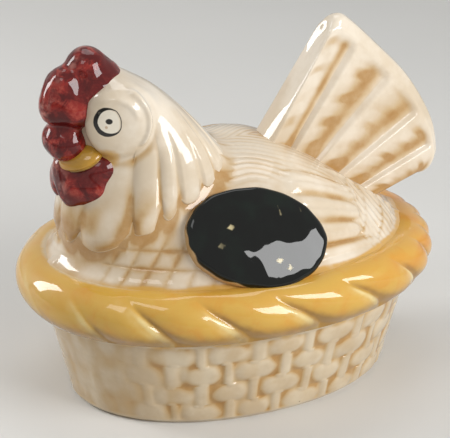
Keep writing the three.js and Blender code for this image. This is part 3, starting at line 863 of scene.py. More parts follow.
@dataclass
class Basket(Piece):
    """The woven tub: floor, foot ring, recessed base and filler hole in one closed surface."""

    rim_length: float = 37.4
    rim_width: float = 27.7
    height: float = BASKET_HEIGHT
    taper: float = 5.1
    wall: float = 3.3
    floor: float = 3.4
    recess: float = 1.2
    foot: float = 4.6
    rounding: float = 0.9
    band: float = 1.2
    relief: float = 0.56
    hole: float = 8.2
    hole_slope: float = 0.08
    stakes: int = 36
    columns_per_stake: int = 16
    rows: int = 4
    # The basket's cream and pale are darker than the hen's: painted shade on the same glaze.
    glaze: CreamGlaze = field(default_factory=lambda: CreamGlaze(pale=(214, 198, 171), cream=(198, 177, 146)))
    label = Label("basket_weave", "basket", Slot.CREAM, "basket_cream_shaded", ("wash", "yellow", "line"), 40.0)

    def hole_radius(self, z: Array) -> Array:
        """Radius of the filler hole, which narrows upwards."""
        return self.hole - self.hole_slope * (z - self.recess)

    def weave(self, way: Array, turn: Array, z: Array) -> tuple[Array, Array]:
        """Height of the weave and depth of its hollows.

        In each row a pillow spans two stakes, and one upright stake shows between two pillows; the
        next row is moved on by one stake. A stake's height falls off with the distance from its
        line, a pillow's with that and with the height in its row. A stake keeps its height where it
        dives behind a pillow, so each pillow and the stakes over and under it read as one cross.

        Args:
            way: distance round the tub, from 0 to 1.
            turn: the oval's turn at that distance.
            z: height above the table.

        Returns:
            The height from 0 to 1, and the hollows from 0 to 1.
        """
        woven_height = self.height - self.band
        level = z / (woven_height / self.rows) + 0.06 * np.sin(TAU * 5 * way) * bump(z, 9.0, 8.0)
        row = np.clip(np.floor(level), 0, self.rows - 1)
        wander = 0.1 * np.sin(TAU * 11 * way + 1.3 * row)
        along = np.mod(way * self.stakes + wander + row + 1.0, 2.0)
        from_stake = np.minimum(along, 2.0 - along)
        corner = np.abs(2.0 * unit(level - row) - 1.0)
        edge = 0.07 + 0.24 * corner**1.6
        pillow = climb(from_stake, edge - 0.04, edge + 0.56) * unit(1.0 - corner**2.6) ** 0.75
        stake = drop(from_stake, 0.05, 0.34)
        behind = drop(1.0 - from_stake, 0.09, 0.3) * climb(corner, 0.3, 0.8)
        height = np.maximum(0.94 * pillow, 0.82 * np.maximum(stake, behind))
        top = climb(z, woven_height - 0.7, woven_height + 0.2)
        height = height * (1.0 - top) + 0.85 * top
        head = climb(np.abs(turn - 0.5), 0.06, 0.22)
        wave = 0.5 + 0.5 * np.cos(TAU * self.stakes / 2.0 * way)
        height = height * (0.2 + 0.8 * head) + 0.3 * wave * (1.0 - head)
        return height, drop(height, 0.0, 0.8) * (0.2 + 0.8 * head) * (1.0 - top)

    def outline(self) -> Array:
        """The section's closed outline, from the foot up the outside and back down inside.

        Returns:
            Four columns with one value for each row: the draw inwards from the rim, the height, the
            share of the weave, and how far the row is the round hole instead of the oval.
        """
        outside = np.linspace(0.0, self.height, 92)
        inside = np.linspace(self.height - 1.0, self.floor + 1.2, 10)
        draw, inner = (self.taper * (1.0 - z / self.height) for z in (outside, inside))
        draw = draw + self.rounding * drop(outside, 0.0, self.rounding * 1.4) ** 1.5
        inner = inner + self.wall
        woven = window(outside, 0.3, 1.4, self.height - 0.4, self.height)
        foot = self.taper + self.rounding + self.foot
        rows = [
            (draw, outside, woven, 0.0),
            (self.wall * np.linspace(0.15, 1.0, 5), self.height, 0.0, 0.0),
            (inner, inside, 0.0, 0.0),
            (inner[-1] + np.array([0.5, 2, 5, 9]), self.floor + np.array([0.5, 0.1, 0, 0]), 0.0,
             [0, 0, 0.25, 0.6]),
            (14.0, [self.floor, self.floor - 0.25, 2.4, self.recess + 0.25, self.recess], 0.0, 1.0),
            (foot + np.array([7.0, 4.0, 1.4, 0.5, 0.1]), self.recess, 0.0, [0.5, 0.2, 0, 0, 0]),
            (foot - np.array([0.0, 0.15, 0.6, 1.2, 2.6, 4.2]), [self.recess * 0.8, 0.35, 0.06, 0, 0, 0],
             0.0, 0.0),
        ]
        return np.concatenate([stack(*row) for row in rows]).T[:, :, None]

    def grid(self) -> Grid:
        """Carries the outline round the oval and raises the weave on its outside."""
        columns = self.columns_per_stake * self.stakes
        turn = even_turns(columns, self.rim_length, self.rim_width)
        draw, z, woven, to_hole = self.outline()
        height, hollow = self.weave((np.arange(columns) / columns)[None, :], turn, z)
        outset = woven * (height - 1.0) * self.relief - draw
        x, y = oval(turn, self.rim_length + outset, self.rim_width + outset)
        radius = self.hole_radius(z)
        x = x + (radius * np.cos(TAU * turn) - x) * to_hole
        y = y + (radius * np.sin(TAU * turn) - y) * to_hole
        points = stack(x, y, z)
        points[..., :2] *= (1.0 - 0.002 * woven * (1.0 + uneven(points, 14.0, 3)))[..., None]
        brush = bump(z, self.height, 2.1) * climb(uneven(points * [1.0, 1.0, 0.35], 5.0, 17), -0.5, 0.6)
        smear = climb(uneven(points * [1.0, 1.0, 0.4], 3.6, 23), -0.7, 0.7)
        # Painted shade: the front end is darkened in vertical streaks (ring), and the 0.16 and the smear also
        # darken the whole basket, partly as painted shade, beside the brown in the weave's hollows.
        front_shade_streaks = climb(uneven(points * [1.0, 1.0, 0.3], 3.4, 29), -0.4, 0.8)
        ring = climb(-np.cos(TAU * turn), 0.55, 0.95) * front_shade_streaks
        wash = hollow * (0.5 + 0.75 * smear) + 0.25 * ring + 0.16 + 0.22 * smear
        # A dark line just under the rope's overhang, painted as shade.
        seam_shade = bump(z, self.height - 0.3, 0.4)
        return Grid(points, {"wash": unit(wash * woven), "yellow": brush * woven, "line": seam_shade * woven}, True)


@dataclass
class Rope(Piece):
    """The twisted rope round the rim, with the seat that carries the hen."""

    length: float = 42.0
    width: float = 31.2
    radius: float = 5.3
    centre_rise: float = 4.4
    undercut: float = 0.4
    valley: float = 1.7
    groove: float = 1.3
    lay: float = 0.95
    inner_step: float = 5.2
    columns: int = 1080
    arc: int = 46
    grooves: Row = (-0.03, 0.03, 0.094, 0.156, 0.233, 0.339, 0.458, 0.564, 0.678, 0.794, 0.92, 1.08)
    glaze: YellowGlaze = field(default_factory=YellowGlaze)
    label = Label("twisted_rope", "rope_rim", Slot.YELLOW, "rope_yellow",
                  ("wash", "thin", "warm", "bare"), 60.0)

    def strand_at(self, turn: Array) -> Array:
        """Which strand lies at a turn: the table of grooves read backwards, mirrored at the head.

        Args:
            turn: turns round the rope.

        Returns:
            The strand number, with the place across the strand as its fraction.
        """
        half = len(self.grooves) - 2
        table = np.stack([np.arange(half + 2) - 0.5, self.grooves], axis=1)
        strand = np.linspace(0.0, half, 400)
        share = follow(table, strand)[:, 0] / 2.0
        keys = np.concatenate([share, 1.0 - share[::-1][1:]])
        values = np.concatenate([strand, 2.0 * half - strand[::-1][1:]])
        return np.interp(turn, keys, values)

    def grid(self) -> Grid:
        """Carries the rope's section round the oval, cut by slanting S-shaped grooves.

        A strand swells broadly, ends in a thin ridge, and drops into the next groove. Its phase is
        the strand number at the turn, moved on by the lay times the height in the section. The
        grooves run out over the crest, where the rope flows into the hen.
        """
        length, width = self.length - self.radius, self.width - self.radius
        turn = even_turns(self.columns, length, width)
        low = math.asin(-(self.centre_rise - self.undercut) / self.radius)
        high = math.acos(-self.valley / self.radius)
        up = np.linspace(0.0, 1.0, self.arc)[:, None]
        angle = low + (high - low) * up
        strand = self.strand_at(turn) - 0.5 + self.lay * (0.5 * up + 0.5 * climb(up, 0.0, 1.0))
        phase, number = np.mod(strand, 1.0), np.floor(strand)
        swell = np.sin(math.pi * phase**1.18) ** 0.68
        ridge = bump(phase, 0.93, 0.05) * (1.0 - 0.5 * up) * drop(up, 0.3, 0.7)
        groove = bump(phase, 0.035, 0.07) + bump(phase, 1.035, 0.07)
        tail = climb(np.cos(TAU * turn), 0.3, 0.95)
        faint = (0.12 + 0.88 * climb(np.abs(turn - 0.5), 0.05, 0.15)) * drop(up, 0.4 - 0.12 * tail, 0.82)
        size = 1.0 + 0.05 * np.sin(2.4 * number)
        depth = self.groove * faint * (1.0 - swell * size * 0.97 - 0.16 * ridge + 0.1 * groove)
        edges = 0.35 + 0.65 * np.sin(math.pi * unit(up * 1.02)) ** 0.6
        radius = self.radius - np.maximum(depth, 0.0) * edges - 0.03
        outset, rise = radius * np.cos(angle), radius * np.sin(angle)
        outer = stack(*oval(turn, length + outset, width + outset), BASKET_HEIGHT + self.centre_rise + rise)
        streak = climb(uneven(outer * [0.5, 0.5, 1.0], 4.0, 19), -0.2, 0.8)
        head = climb(-np.cos(TAU * turn), 0.45, 0.95)
        # Painted shade along the rope's underside.
        underside_shade = 0.6 * bump(up, 0.0, 0.2) + 0.34 * drop(up, 0.08, 0.4)
        thin = unit(ridge * 1.2 + 0.6 * bump(phase, 0.83, 0.12) * (1 - up) + 0.75 * head * up)
        layers = {
            "wash": unit((0.85 * groove + 0.35 * bump(phase, 0.16, 0.1)) * faint + underside_shade),
            "thin": thin * faint**0.3,
            "warm": unit(bump(up, 0.6, 0.36) * tail * (0.5 + 0.7 * streak) + 0.25 * streak),
            "bare": climb(up, 0.9 - 0.12 * head, 1.0 - 0.06 * head) * (0.3 + 0.7 * head),
        }
        tuck = np.array([
            (self.valley + 0.7, SEAT_Z + 2.6), (self.valley + 1.1, SEAT_Z + 1.2), (self.valley + 1.1, SEAT_Z),
            (self.inner_step, SEAT_Z), (self.inner_step, BASKET_HEIGHT), (2.0, BASKET_HEIGHT),
            (self.undercut - self.radius * math.cos(low), BASKET_HEIGHT),
        ])
        draw, z = tuck[:, :1], tuck[:, 1:]
        inner = stack(*oval(turn, length - draw, width - draw), z)
        outer[..., 2] += (uneven(outer, 13.0, 5) * 0.1 - 0.06) * (up < 0.95)
        # The lip under the rope takes the values of the lowest outer row, so it is painted dark as shade; the
        # rows inside take those of the top row.
        layers = {key: np.concatenate([v, np.repeat(v[-1:], len(tuck) - 1, axis=0), v[:1]])
                  for key, v in layers.items()}
        return Grid(np.concatenate([outer, inner]), layers, True)


# The hen


@dataclass
class HenForm:
    """The hen's body and neck as forms.

    The distances are first-order ones: (rho - 1) times rho over the length of rho's slope, where
    rho is 1 on the form's ellipse.
    """

    half_length: float = 34.7
    half_width: float = 23.9
    rise: float = 37.8
    back_rise: float = 19.1
    face_narrowing: float = 0.42
    blend: float = 3.2
    arch_power: float = 2.3
    under_feathers: float = 0.6
    back_line: Table = (
        (-1, 0), (-0.865, 0.2), (-0.69, 0.45), (-0.49, 0.7), (-0.29, 0.9), (-0.06, 0.99), (0.17, 1),
        (0.36, 0.86), (0.585, 0.59), (0.78, 0.28), (0.91, 0.09), (1, 0),
    )
    neck_line: Table = (
        # station, x and z of the front, x and z of the nape, half width
        (0, -0.99, -0.05, 0.17, -0.05, 0.7),
        (0.14, -1, 0.12, 0.07, 0.24, 0.69),
        (0.28, -0.995, 0.265, -0.03, 0.455, 0.65),
        (0.42, -0.97, 0.424, -0.14, 0.58, 0.58),
        (0.55, -0.945, 0.555, -0.24, 0.69, 0.5),
        (0.67, -0.94, 0.674, -0.34, 0.79, 0.42),
        (0.78, -0.94, 0.779, -0.45, 0.875, 0.35),
        (0.88, -0.915, 0.871, -0.553, 0.935, 0.28),
        (0.95, -0.86, 0.945, -0.64, 0.978, 0.19),
        (1, -0.79, 0.993, -0.72, 0.997, 0.08),
    )

    def __post_init__(self) -> None:
        """Reads the neck's table finely, and works out the station of each place beside it."""
        self.stations = np.linspace(0.0, 1.0, 241)
        front_x, front_z, nape_x, nape_z, width = follow(self.neck_line, self.stations).T
        self.front = stack(front_x * self.half_length, CREST_Z + front_z * self.rise)
        self.nape = stack(nape_x * self.half_length, CREST_Z + nape_z * self.rise)
        self.width = np.maximum(width, 0.02) * self.half_width
        self.map_x = np.linspace(-50.0, 40.0, 181)
        self.map_z = np.linspace(20.0, 80.0, 121)
        x, z = np.meshgrid(self.map_x, self.map_z, indexing="ij")
        low, high = np.zeros(x.shape), np.ones(x.shape)
        for _ in range(16):
            middle = 0.5 * (low + high)
            fx, fz, nx, nz = self.ends(middle)
            above = (nx - fx) * (z - fz) - (nz - fz) * (x - fx) > 0.0
            low = np.where(above, middle, low)
            high = np.where(above, high, middle)
        self.station_map = 0.5 * (low + high)

    def read(self, values: Array, station: Array) -> Array:
        """One column of the neck's fine table at these stations."""
        return np.interp(station, self.stations, values)

    def ends(self, station: Array) -> list[Array]:
        """x and z of the front, then of the nape, at these stations."""
        return [self.read(column, station) for column in (*self.front.T, *self.nape.T)]

    def station(self, x: Array, z: Array) -> Array:
        """The station of the neck's slanted section through each place.

        Args:
            x: the places' x.
            z: their heights.

        Returns:
            The stations, read from the map by weighing the four neighbours.
        """
        i, j = (np.clip((place - marks[0]) / (marks[1] - marks[0]), 0, len(marks) - 1.001)
                for place, marks in ((x, self.map_x), (z, self.map_z)))
        a, b = i.astype(int), j.astype(int)
        u, v = i - a, j - b
        m = self.station_map
        low = m[a, b] * (1 - u) + m[a + 1, b] * u
        high = m[a, b + 1] * (1 - u) + m[a + 1, b + 1] * u
        return low * (1 - v) + high * v

    def section(self, station: Array) -> tuple[Array, Array, Array, Array]:
        """The neck's slanted section at each station.

        Args:
            station: the stations.

        Returns:
            Its middle, the unit direction to the nape, its half length and its half width.
        """
        fx, fz, nx, nz = self.ends(station)
        half = 0.5 * np.hypot(nx - fx, nz - fz)
        middle = stack(0.5 * (fx + nx), 0.0 * fx, 0.5 * (fz + nz))
        way = stack((nx - fx) / (2 * half), 0.0 * fx, (nz - fz) / (2 * half))
        return middle, way, half, self.read(self.width, station)

    def narrowing(self, station: Array, cosine: Array) -> Array:
        """Factor on the half width: below 1 towards the face, above 1 towards the nape."""
        return 1.0 + self.face_narrowing * climb(station, 0.2, 0.5) * (cosine - 0.2)

    def neck(self, p: Array) -> Array:
        """Distance from the plain neck: slanted ellipses that narrow towards the face.

        Args:
            p: the places.

        Returns:
            The distances, negative inside.
        """
        station = self.station(p[..., 0], p[..., 2])
        middle, way, half, width = self.section(station)
        t = ((p - middle) * way).sum(axis=-1) / half
        y = p[..., 1]
        cosine = t / (np.sqrt(t**2 + (y / width) ** 2) + 1e-9)
        width = width * self.narrowing(station, cosine)
        rho = np.sqrt(t**2 + (y / width) ** 2)
        slope = np.sqrt((t / half) ** 2 + (y / width**2) ** 2) + 1e-6
        crown = ((p - middle) * stack(-way[..., 2], 0.0 * half, way[..., 0])).sum(axis=-1)
        side = np.clip((rho - 1.0) * rho / slope, -9.0, 60.0)
        return np.where(station > 0.999, np.maximum(side, crown), side)

    def back_height(self, x: Array) -> Array:
        """Height of the back line above the rope at x."""
        share = follow(self.back_line, np.clip(x / self.half_length, -1.0, 1.0))[..., 0]
        return np.maximum(share, 0.012) * self.back_rise

    def half_span(self, x: Array) -> Array:
        """Half width of the oval plan at x."""
        share = np.clip(np.abs(x) / self.half_length, 0.0, 0.9995) ** OVAL_POWER
        return self.half_width * (1.0 - share) ** (1.0 / OVAL_POWER)

    def mound(self, p: Array) -> Array:
        """Distance from the back: arches across the oval plan, as high as the back line.

        The arch is a superellipse that stands on the seat, so it is nearly upright at the rope.

        Args:
            p: the places.

        Returns:
            The distances, negative inside.
        """
        span, height = self.half_span(p[..., 0]), self.back_height(p[..., 0]) + CREST_Z - SEAT_Z
        a, b = np.abs(p[..., 1]) / span, np.maximum(p[..., 2] - SEAT_Z, 0.0) / height
        n = self.arch_power
        rho = (a**n + b**n) ** (1.0 / n) + 1e-6
        slope = rho ** (1.0 - n) * np.hypot(a ** (n - 1.0) / span, b ** (n - 1.0) / height) + 1e-6
        side = np.clip((rho - 1.0) / slope, -9.0, 60.0)
        return np.maximum(side, np.abs(p[..., 0]) - self.half_length)

    def breast(self, p: Array) -> Array:
        """Distance from the neck under its feathers."""
        return self.neck(p) + self.under_feathers

    def body(self, p: Array) -> Array:
        """Distance from back and breast, run together."""
        return smooth_min(self.mound(p), self.breast(p), self.blend)

    def bearing(self, p: Array) -> Array:
        """Degrees down the flank: 0 on the back line, 90 at the rope."""
        up = np.maximum(p[..., 2] - CREST_Z, 0.0) / self.back_height(p[..., 0])
        return np.degrees(np.arctan2(np.abs(p[..., 1]) / self.half_span(p[..., 0]), up))


@dataclass
class Hackle:
    """The cape of neck feathers, laid out in the neck's own coordinates.

    A feather keeps its line, in degrees from the nape, and the line turns towards the nape as it
    climbs.
    """

    relief: float = 0.6
    upper: float = 0.7
    crest: float = 0.71
    roundness: float = 2.4
    notch: float = 0.045
    twist: float = 57.0
    throat: float = 180.0
    steps: int = 12
    rows: Table = (
        # edge and tip in degrees from the nape, station of the tip, how square the tip is
        (-12, 0, 0.262, 2.4), (12, 22, 0.272, 2.6), (33, 43, 0.276, 2.8), (52, 60, 0.288, 3.0),
        (68, 78, 0.268, 2.6), (87, 94, 0.238, 2.2), (100, 110, 0.205, 4.5), (119, 138, 0.138, 1.7),
        (155, 167, 0.15, 2.2),
    )

    def columns(self) -> tuple[Array, Array, Array, Array]:
        """Columns round the cape, with two runs of steps across each feather.

        Returns:
            Each column's place across its feather from -1 to 1, its line in degrees, the station
            of its lower end, and how strongly its feather has a raised edge.
        """
        rows = np.array(self.rows, float)
        edges = np.append(rows[:, 0], self.throat)
        across = np.tile(np.arange(-self.steps, self.steps) / self.steps, len(rows))
        i = np.repeat(np.arange(len(rows)), 2 * self.steps)
        tip = rows[i, 1]
        line = tip + np.where(across < 0.0, tip - edges[i], edges[i + 1] - tip) * across
        start = rows[i, 2] + self.notch * np.abs(across) ** rows[i, 3]
        rim = drop(i.astype(float), 3.0, 5.0)
        half = np.stack([across, line, start, rim], axis=1)[line > 0.0]
        nape = [0.0, 0.0, rows[0, 2], 1.0]
        throat = [1.0, self.throat, rows[-1, 2] + self.notch, 0.0]
        return tuple(np.vstack([nape, half, throat, half[::-1] * [-1.0, -1.0, 1.0, 1.0]]).T)

    def turned(self, line: Array, station: Array) -> Array:
        """Degrees that a line has turned towards the nape at a station; none at nape and throat."""
        share = np.clip(station, 0.15, 0.67) - 0.25
        return self.twist * share * window(line, 0.0, 40.0, 150.0, 180.0)

    def angle(self, line: Array, station: Array) -> Array:
        """Degrees from the nape of a line at a station."""
        return line - np.sign(line) * self.turned(np.abs(line), station)

    def rise(self, across: Array, station: Array, rim: Array) -> Array:
        """Height of the cape over the neck: crowned feathers that level out up the neck.

        Args:
            across: place across the feather, from -1 to 1.
            station: station on the neck.
            rim: how strongly the feather has a raised edge.

        Returns:
            The height in mm.
        """
        crown = 1.0 - np.abs(across) ** self.roundness
        soft = np.sqrt(crown**2 + 0.16**2) - 0.03
        edge = rim * (0.26 * bump(np.abs(across), 0.6, 0.14) - 0.2 * bump(np.abs(across), 0.86, 0.1))
        level = self.relief * drop(station, 0.42, 0.72)
        return level * (self.upper + (1.0 - self.upper) * (1.0 - rim)) * (soft - self.crest + edge)

    def crease(self, across: Array, station: Array) -> Array:
        """1 in the creases between feathers, fading towards the head."""
        return climb(np.abs(across), 0.66, 1.0) * drop(station, 0.44, 0.66)

    def edge_at(self, station: Array, degrees: Array) -> Array:
        """Station of the cape's lower edge on the line through a place on the body.

        Args:
            station: the place's station.
            degrees: its angle from the nape.

        Returns:
            The station of the edge.
        """
        _, line, start, _ = self.columns()
        half = len(line) // 2 + 1
        return np.interp(degrees + self.turned(degrees, station), line[:half], start[:half])


@dataclass
class Cheek:
    """The round cheek that carries the eye, with a crescent ridge at its rear edge."""

    middle: Row = (-24.8, 7.0, 58.0)
    radii: Row = (6.3, 3.2, 6.8)
    turn: float = CHEEK_TURN
    power: float = 2.6
    crescent: float = 0.6
    brow: float = 0.32

    def local(self, p: Array) -> tuple[Array, Array, Array, Array]:
        """Places in the cheek's own frame.

        Args:
            p: the places.

        Returns:
            Forwards to rear, up, outwards, and the share of the flat ellipse's radius.
        """
        x, y, z = p[..., 0] - self.middle[0], np.abs(p[..., 1]) - self.middle[1], p[..., 2] - self.middle[2]
        cos, sin = math.cos(self.turn), math.sin(self.turn)
        u, w = x * cos + y * sin, -x * sin + y * cos
        return u, z, w, np.sqrt((u / self.radii[0]) ** 2 + (z / self.radii[2]) ** 2)

    def distance(self, p: Array) -> Array:
        """Distance from a flattened ball: the flat and the outward share, joined by the power.

        Args:
            p: the places.

        Returns:
            The distances, negative inside.
        """
        u, v, w, flat = self.local(p)
        rho = (flat**self.power + np.abs(w / self.radii[1]) ** self.power) ** (1.0 / self.power)
        slope = rho / (np.sqrt(u**2 + v**2 + w**2) + 1e-6)
        return (rho - 1.0) / (slope + 1e-6) * 0.9

    def ridge(self, p: Array) -> tuple[Array, Array]:
        """The crescent at the cheek's rear and the brow over the eye, and the hollow behind them.

        Each is a bell about a radius that grows with the bearing, within a span of bearings.

        Args:
            p: the places.

        Returns:
            The ridges' height in mm, and the hollow from 0 to 1.
        """
        u, v, w, flat = self.local(p)
        bearing = np.degrees(np.arctan2(v, u))
        near = climb(w, -1.5, 0.8)
        crescent = bump(flat, 0.875 + 0.0019 * bearing, 0.06) * window(bearing, -48.0, -28.0, 62.0, 82.0)
        brow = bump(flat, 0.6 + 0.002 * bearing, 0.09) * window(bearing, 18.0, 50.0, 105.0, 140.0)
        behind = bump(flat, 1.08 + 0.0019 * bearing, 0.1) * window(bearing, -110.0, -50.0, 70.0, 100.0)
        return (self.crescent * crescent + self.brow * brow) * near, behind * near


@dataclass
class Tail:
    """The upright fan of five flutes."""

    rise: float = 40.9
    reach: float = 45.9
    thickness: float = 5.4
    depth: float = 0.9
    flutes: int = 5
    across: int = 230
    out: int = 96
    root: Table = ((0, 0.1, 0.36), (0.5, 0.38, 0.22), (1, 0.7, 0.06))
    tip: Table = (
        (0, 0.455, 0.93), (0.04, 0.475, 0.985), (0.09, 0.515, 1), (0.15, 0.56, 0.97), (0.3, 0.685, 0.835),
        (0.48, 0.845, 0.645), (0.68, 0.965, 0.42), (0.86, 1, 0.25), (0.93, 0.985, 0.19), (1, 0.93, 0.13),
    )

    def grid(self) -> Grid:
        """The fan as rings from its front edge to its lower edge.

        A point lies on the line from root to tip at its share across. Its half thickness is the
        waist, less the flute: high just behind the flute's front edge, then sloping to the groove.
        """
        even = np.linspace(0.0, 1.0, self.across)
        share = 0.35 * (0.5 - 0.5 * np.cos(math.pi * even)) + 0.65 * even
        start, end = (follow(rows, share)[:, None, :] for rows in (self.root, self.tip))
        s, t = share[:, None], np.linspace(0.0, 1.0, self.out)[None, :]
        place = (start + (end - start) * t[..., None]) * [self.reach, self.rise] + [0.0, CREST_Z]
        edge = np.sqrt(np.clip(1.0 - (1.0 - unit(np.minimum(s, 1.0 - s) / 0.055)) ** 2, 0.03, 1.0))
        phase = np.mod(s * self.flutes, 1.0)
        crest = np.where(phase < 0.13, climb(phase, -0.03, 0.13), 1.0 - climb(phase, 0.1, 1.08) ** 0.85)
        crest = np.where(s < 0.03, np.maximum(crest, 0.6), crest)
        border = drop(t, 0.84, 0.92)
        flute = self.depth * border * (1.0 - crest)
        rim = 1.0 - 0.35 * climb(t, 0.86, 0.97) + 0.12 * bump(t, 0.925, 0.03)
        cap = np.sqrt(np.clip(1.0 - unit((t - 0.955) / 0.045) ** 2, 0.02, 1.0))
        half = np.maximum(edge * (self.thickness / 2.0 * (1.5 - 0.5 * t) * rim - flute), 0.12) * cap - 0.04
        left, right = (stack(place[..., 0], side * half, place[..., 1]) for side in (-1.0, 1.0))
        number = np.floor(s * self.flutes)
        width = np.where(number < 1, 0.13, 0.27)
        stroke = bump(phase, 0.98 - 0.85 * width, width) * (number < self.flutes)
        patch = climb(uneven(left, 6.0, 31), -0.9, 0.5)
        slant = 5.5 * t + 0.37 * number - 0.7 * phase + 0.12 * uneven(left, 9.0, 37)
        dabs = climb(np.sin(TAU * slant), -0.4, 1.0) * bump(phase, 0.5, 0.26)
        root = drop(t, 0.14, 0.27) * climb(s, 0.0, 0.1) * (0.2 + 0.5 * stroke)
        wash = (stroke * (0.72 + 0.16 * patch) + 0.62 * dabs * (0.3 + 0.7 * patch) + 0.14) * border + root
        wash = unit(wash)
        return Grid(np.concatenate([left, right[:, ::-1]], axis=1),
                    {"wash": np.concatenate([wash, wash[:, ::-1]], axis=1)})


@dataclass
class Hen:
    """The hollow hen: body and back, cape of neck feathers with the head, and the fan tail.

    Each kind of feather on the body is a method that takes the body's places and returns the
    feathers' height in mm and their wash from 0 to 1.
    """

    wall: float = 3.2
    foot_spread: float = 2.0
    foot_fade: float = 0.9
    hole_radius: float = 1.0
    hole_spacing: float = 3.8
    hole_station: float = 0.5
    columns: int = 420
    middle: Row = (-5.0, 0.0, 33.0)
    beak_corner: Row = (-27.6, 0.0, 51.6)
    form: HenForm = field(default_factory=HenForm)
    hackle: Hackle = field(default_factory=Hackle)
    cheek: Cheek = field(default_factory=Cheek)
    tail: Tail = field(default_factory=Tail)
    glaze: CreamGlaze = field(default_factory=CreamGlaze)
    face: FaceGlaze = field(default_factory=FaceGlaze)
    body_label = Label("hen_body", "hen", Slot.CREAM, "hen_cream", ("wash", "yellow"), 50.0)
    cape_label = Label("neck_feathers_and_head", "hen", Slot.CREAM, "head_cream", ("wash", "yellow"), 50.0)
    tail_label = Label("fan_tail", "hen", Slot.CREAM, "hen_cream", ("wash",), 50.0)

    def back_lines(self, p: Array) -> tuple[Array, Array]:
        """Fine lines along the back, which spread to both sides of the tail."""
        x, side = p[..., 0], np.abs(p[..., 1])
        line = np.abs(np.sin(math.pi * (side - 4.3 * climb(x, -2.0, 8.0)) / 1.55))
        zone = drop(self.form.bearing(p), 32.0, 42.0) * window(x, -14.0, -6.0, 15.0, 20.0)
        zone = zone * climb(self.form.breast(p), 0.5, 2.5)
        return -0.055 * zone * (1.0 - line) ** 1.3, 0.14 + 0.34 * zone * drop(line, 0.1, 0.9)

    def wing(self, p: Array) -> tuple[Array, Array]:
        """Four broad feathers on each flank, side by side down it; on the left the oval hides most."""
        x, strip = p[..., 0], (self.form.bearing(p) - 31.5) / 15.2
        cell = np.mod(strip, 1.0)
        rib = np.sin(math.pi * cell) ** 0.6
        last = climb(strip, 2.8, 3.1)
        end = 20.6 - 1.0 * np.floor(strip) + 5.0 * last - 1.8 * np.abs(2.0 * cell - 1.0) ** 2
        start = np.where(p[..., 1] < 0.0, 4.0, -14.0)
        zone = climb(strip, -0.05, 0.12) * window(x, start, start + 3.0, end, end + 0.9)
        zone = zone * climb(p[..., 2], 28.6, 29.8)
        split = 1.0 - 0.35 * bump(cell, 0.5, 0.08)
        beside = bump(x, end + 1.0, 0.8) * climb(strip, 0.0, 0.3) * (1.0 - last)
        return zone * (0.75 * rib * split - 0.2), zone * 0.7 * drop(rib, 0.35, 0.85) + 0.5 * beside

    def ruffle(self, p: Array) -> tuple[Array, Array]:
        """Fine slanting feathers in ranks round the foot of the tail, under a raised edge."""
        x, side, z = p[..., 0], np.abs(p[..., 1]), p[..., 2]
        slant = np.abs(np.sin(math.pi * (0.914 * x + 0.49 * z) / 1.05))
        rank = np.mod((0.45 * x - 0.7 * z) / 3.6 + 0.06 * np.sin(0.9 * z), 1.0)
        edge = side - 7.0 + 0.12 * (x - 20.0)
        zone = climb(x, 18.6, 20.2) * climb(edge, -0.6, 0.5) * climb(z, 28.8, 30.4)
        lip = climb(x, 16.5, 19.0) * bump(edge, 0.2, 0.55)
        full = climb(x, 21.0, 29.0) * climb(z, 29.0, 31.0)
        height = 0.9 * full + zone * (0.32 * slant**0.7 + 0.25 * (1.0 - rank) - 0.1) + 0.35 * lip
        wash = zone * (0.42 * drop(slant, 0.1, 0.65) + 0.3 * bump(rank, 0.03, 0.1))
        return height, wash + 0.3 * bump(edge, -0.9, 0.5) * climb(x, 17.0, 20.0)

    def breast_cells(self, p: Array) -> tuple[Array, Array]:
        """Rows of small cells between the neck feathers and the rope, drawn by shallow lines."""
        x, z = p[..., 0], p[..., 2]
        way = np.arctan2(np.abs(p[..., 1]) / self.form.half_width, -x / self.form.half_length) * 29.0
        row = 1.0 - np.abs(np.sin(math.pi * (z - 29.2) / 3.15))
        along = 1.0 - np.abs(np.sin(math.pi * (way - 0.36 * (z - 30.0) - 14.7) / 3.95))
        line = np.maximum(row, along) ** 1.5
        zone = window(way, 12.5, 15.0, 31.0, 38.0) * (x < 0.0) * window(z, 29.0, 30.0, 35.0, 38.5)
        # soft darkens the breast towards the front: a tan wash that also stands for painted shade.
        soft = climb(-x, 2.0, 14.0) * climb(uneven(p, 8.0, 43), -1.0, 0.4)
        return zone * (0.05 - 0.17 * line**2), 0.34 * soft + zone * (0.72 * line - 0.1)

    def neck_place(self, p: Array) -> tuple[Array, Array]:
        """Where places near the neck lie on it.

        Args:
            p: the places.

        Returns:
            The angle from the nape in degrees, and the station.
        """
        station = self.form.station(p[..., 0], p[..., 2])
        middle, way, half, width = self.form.section(station)
        t = ((p - middle) * way).sum(axis=-1) / half
        return np.degrees(np.arctan2(np.abs(p[..., 1]) / width, t)), station

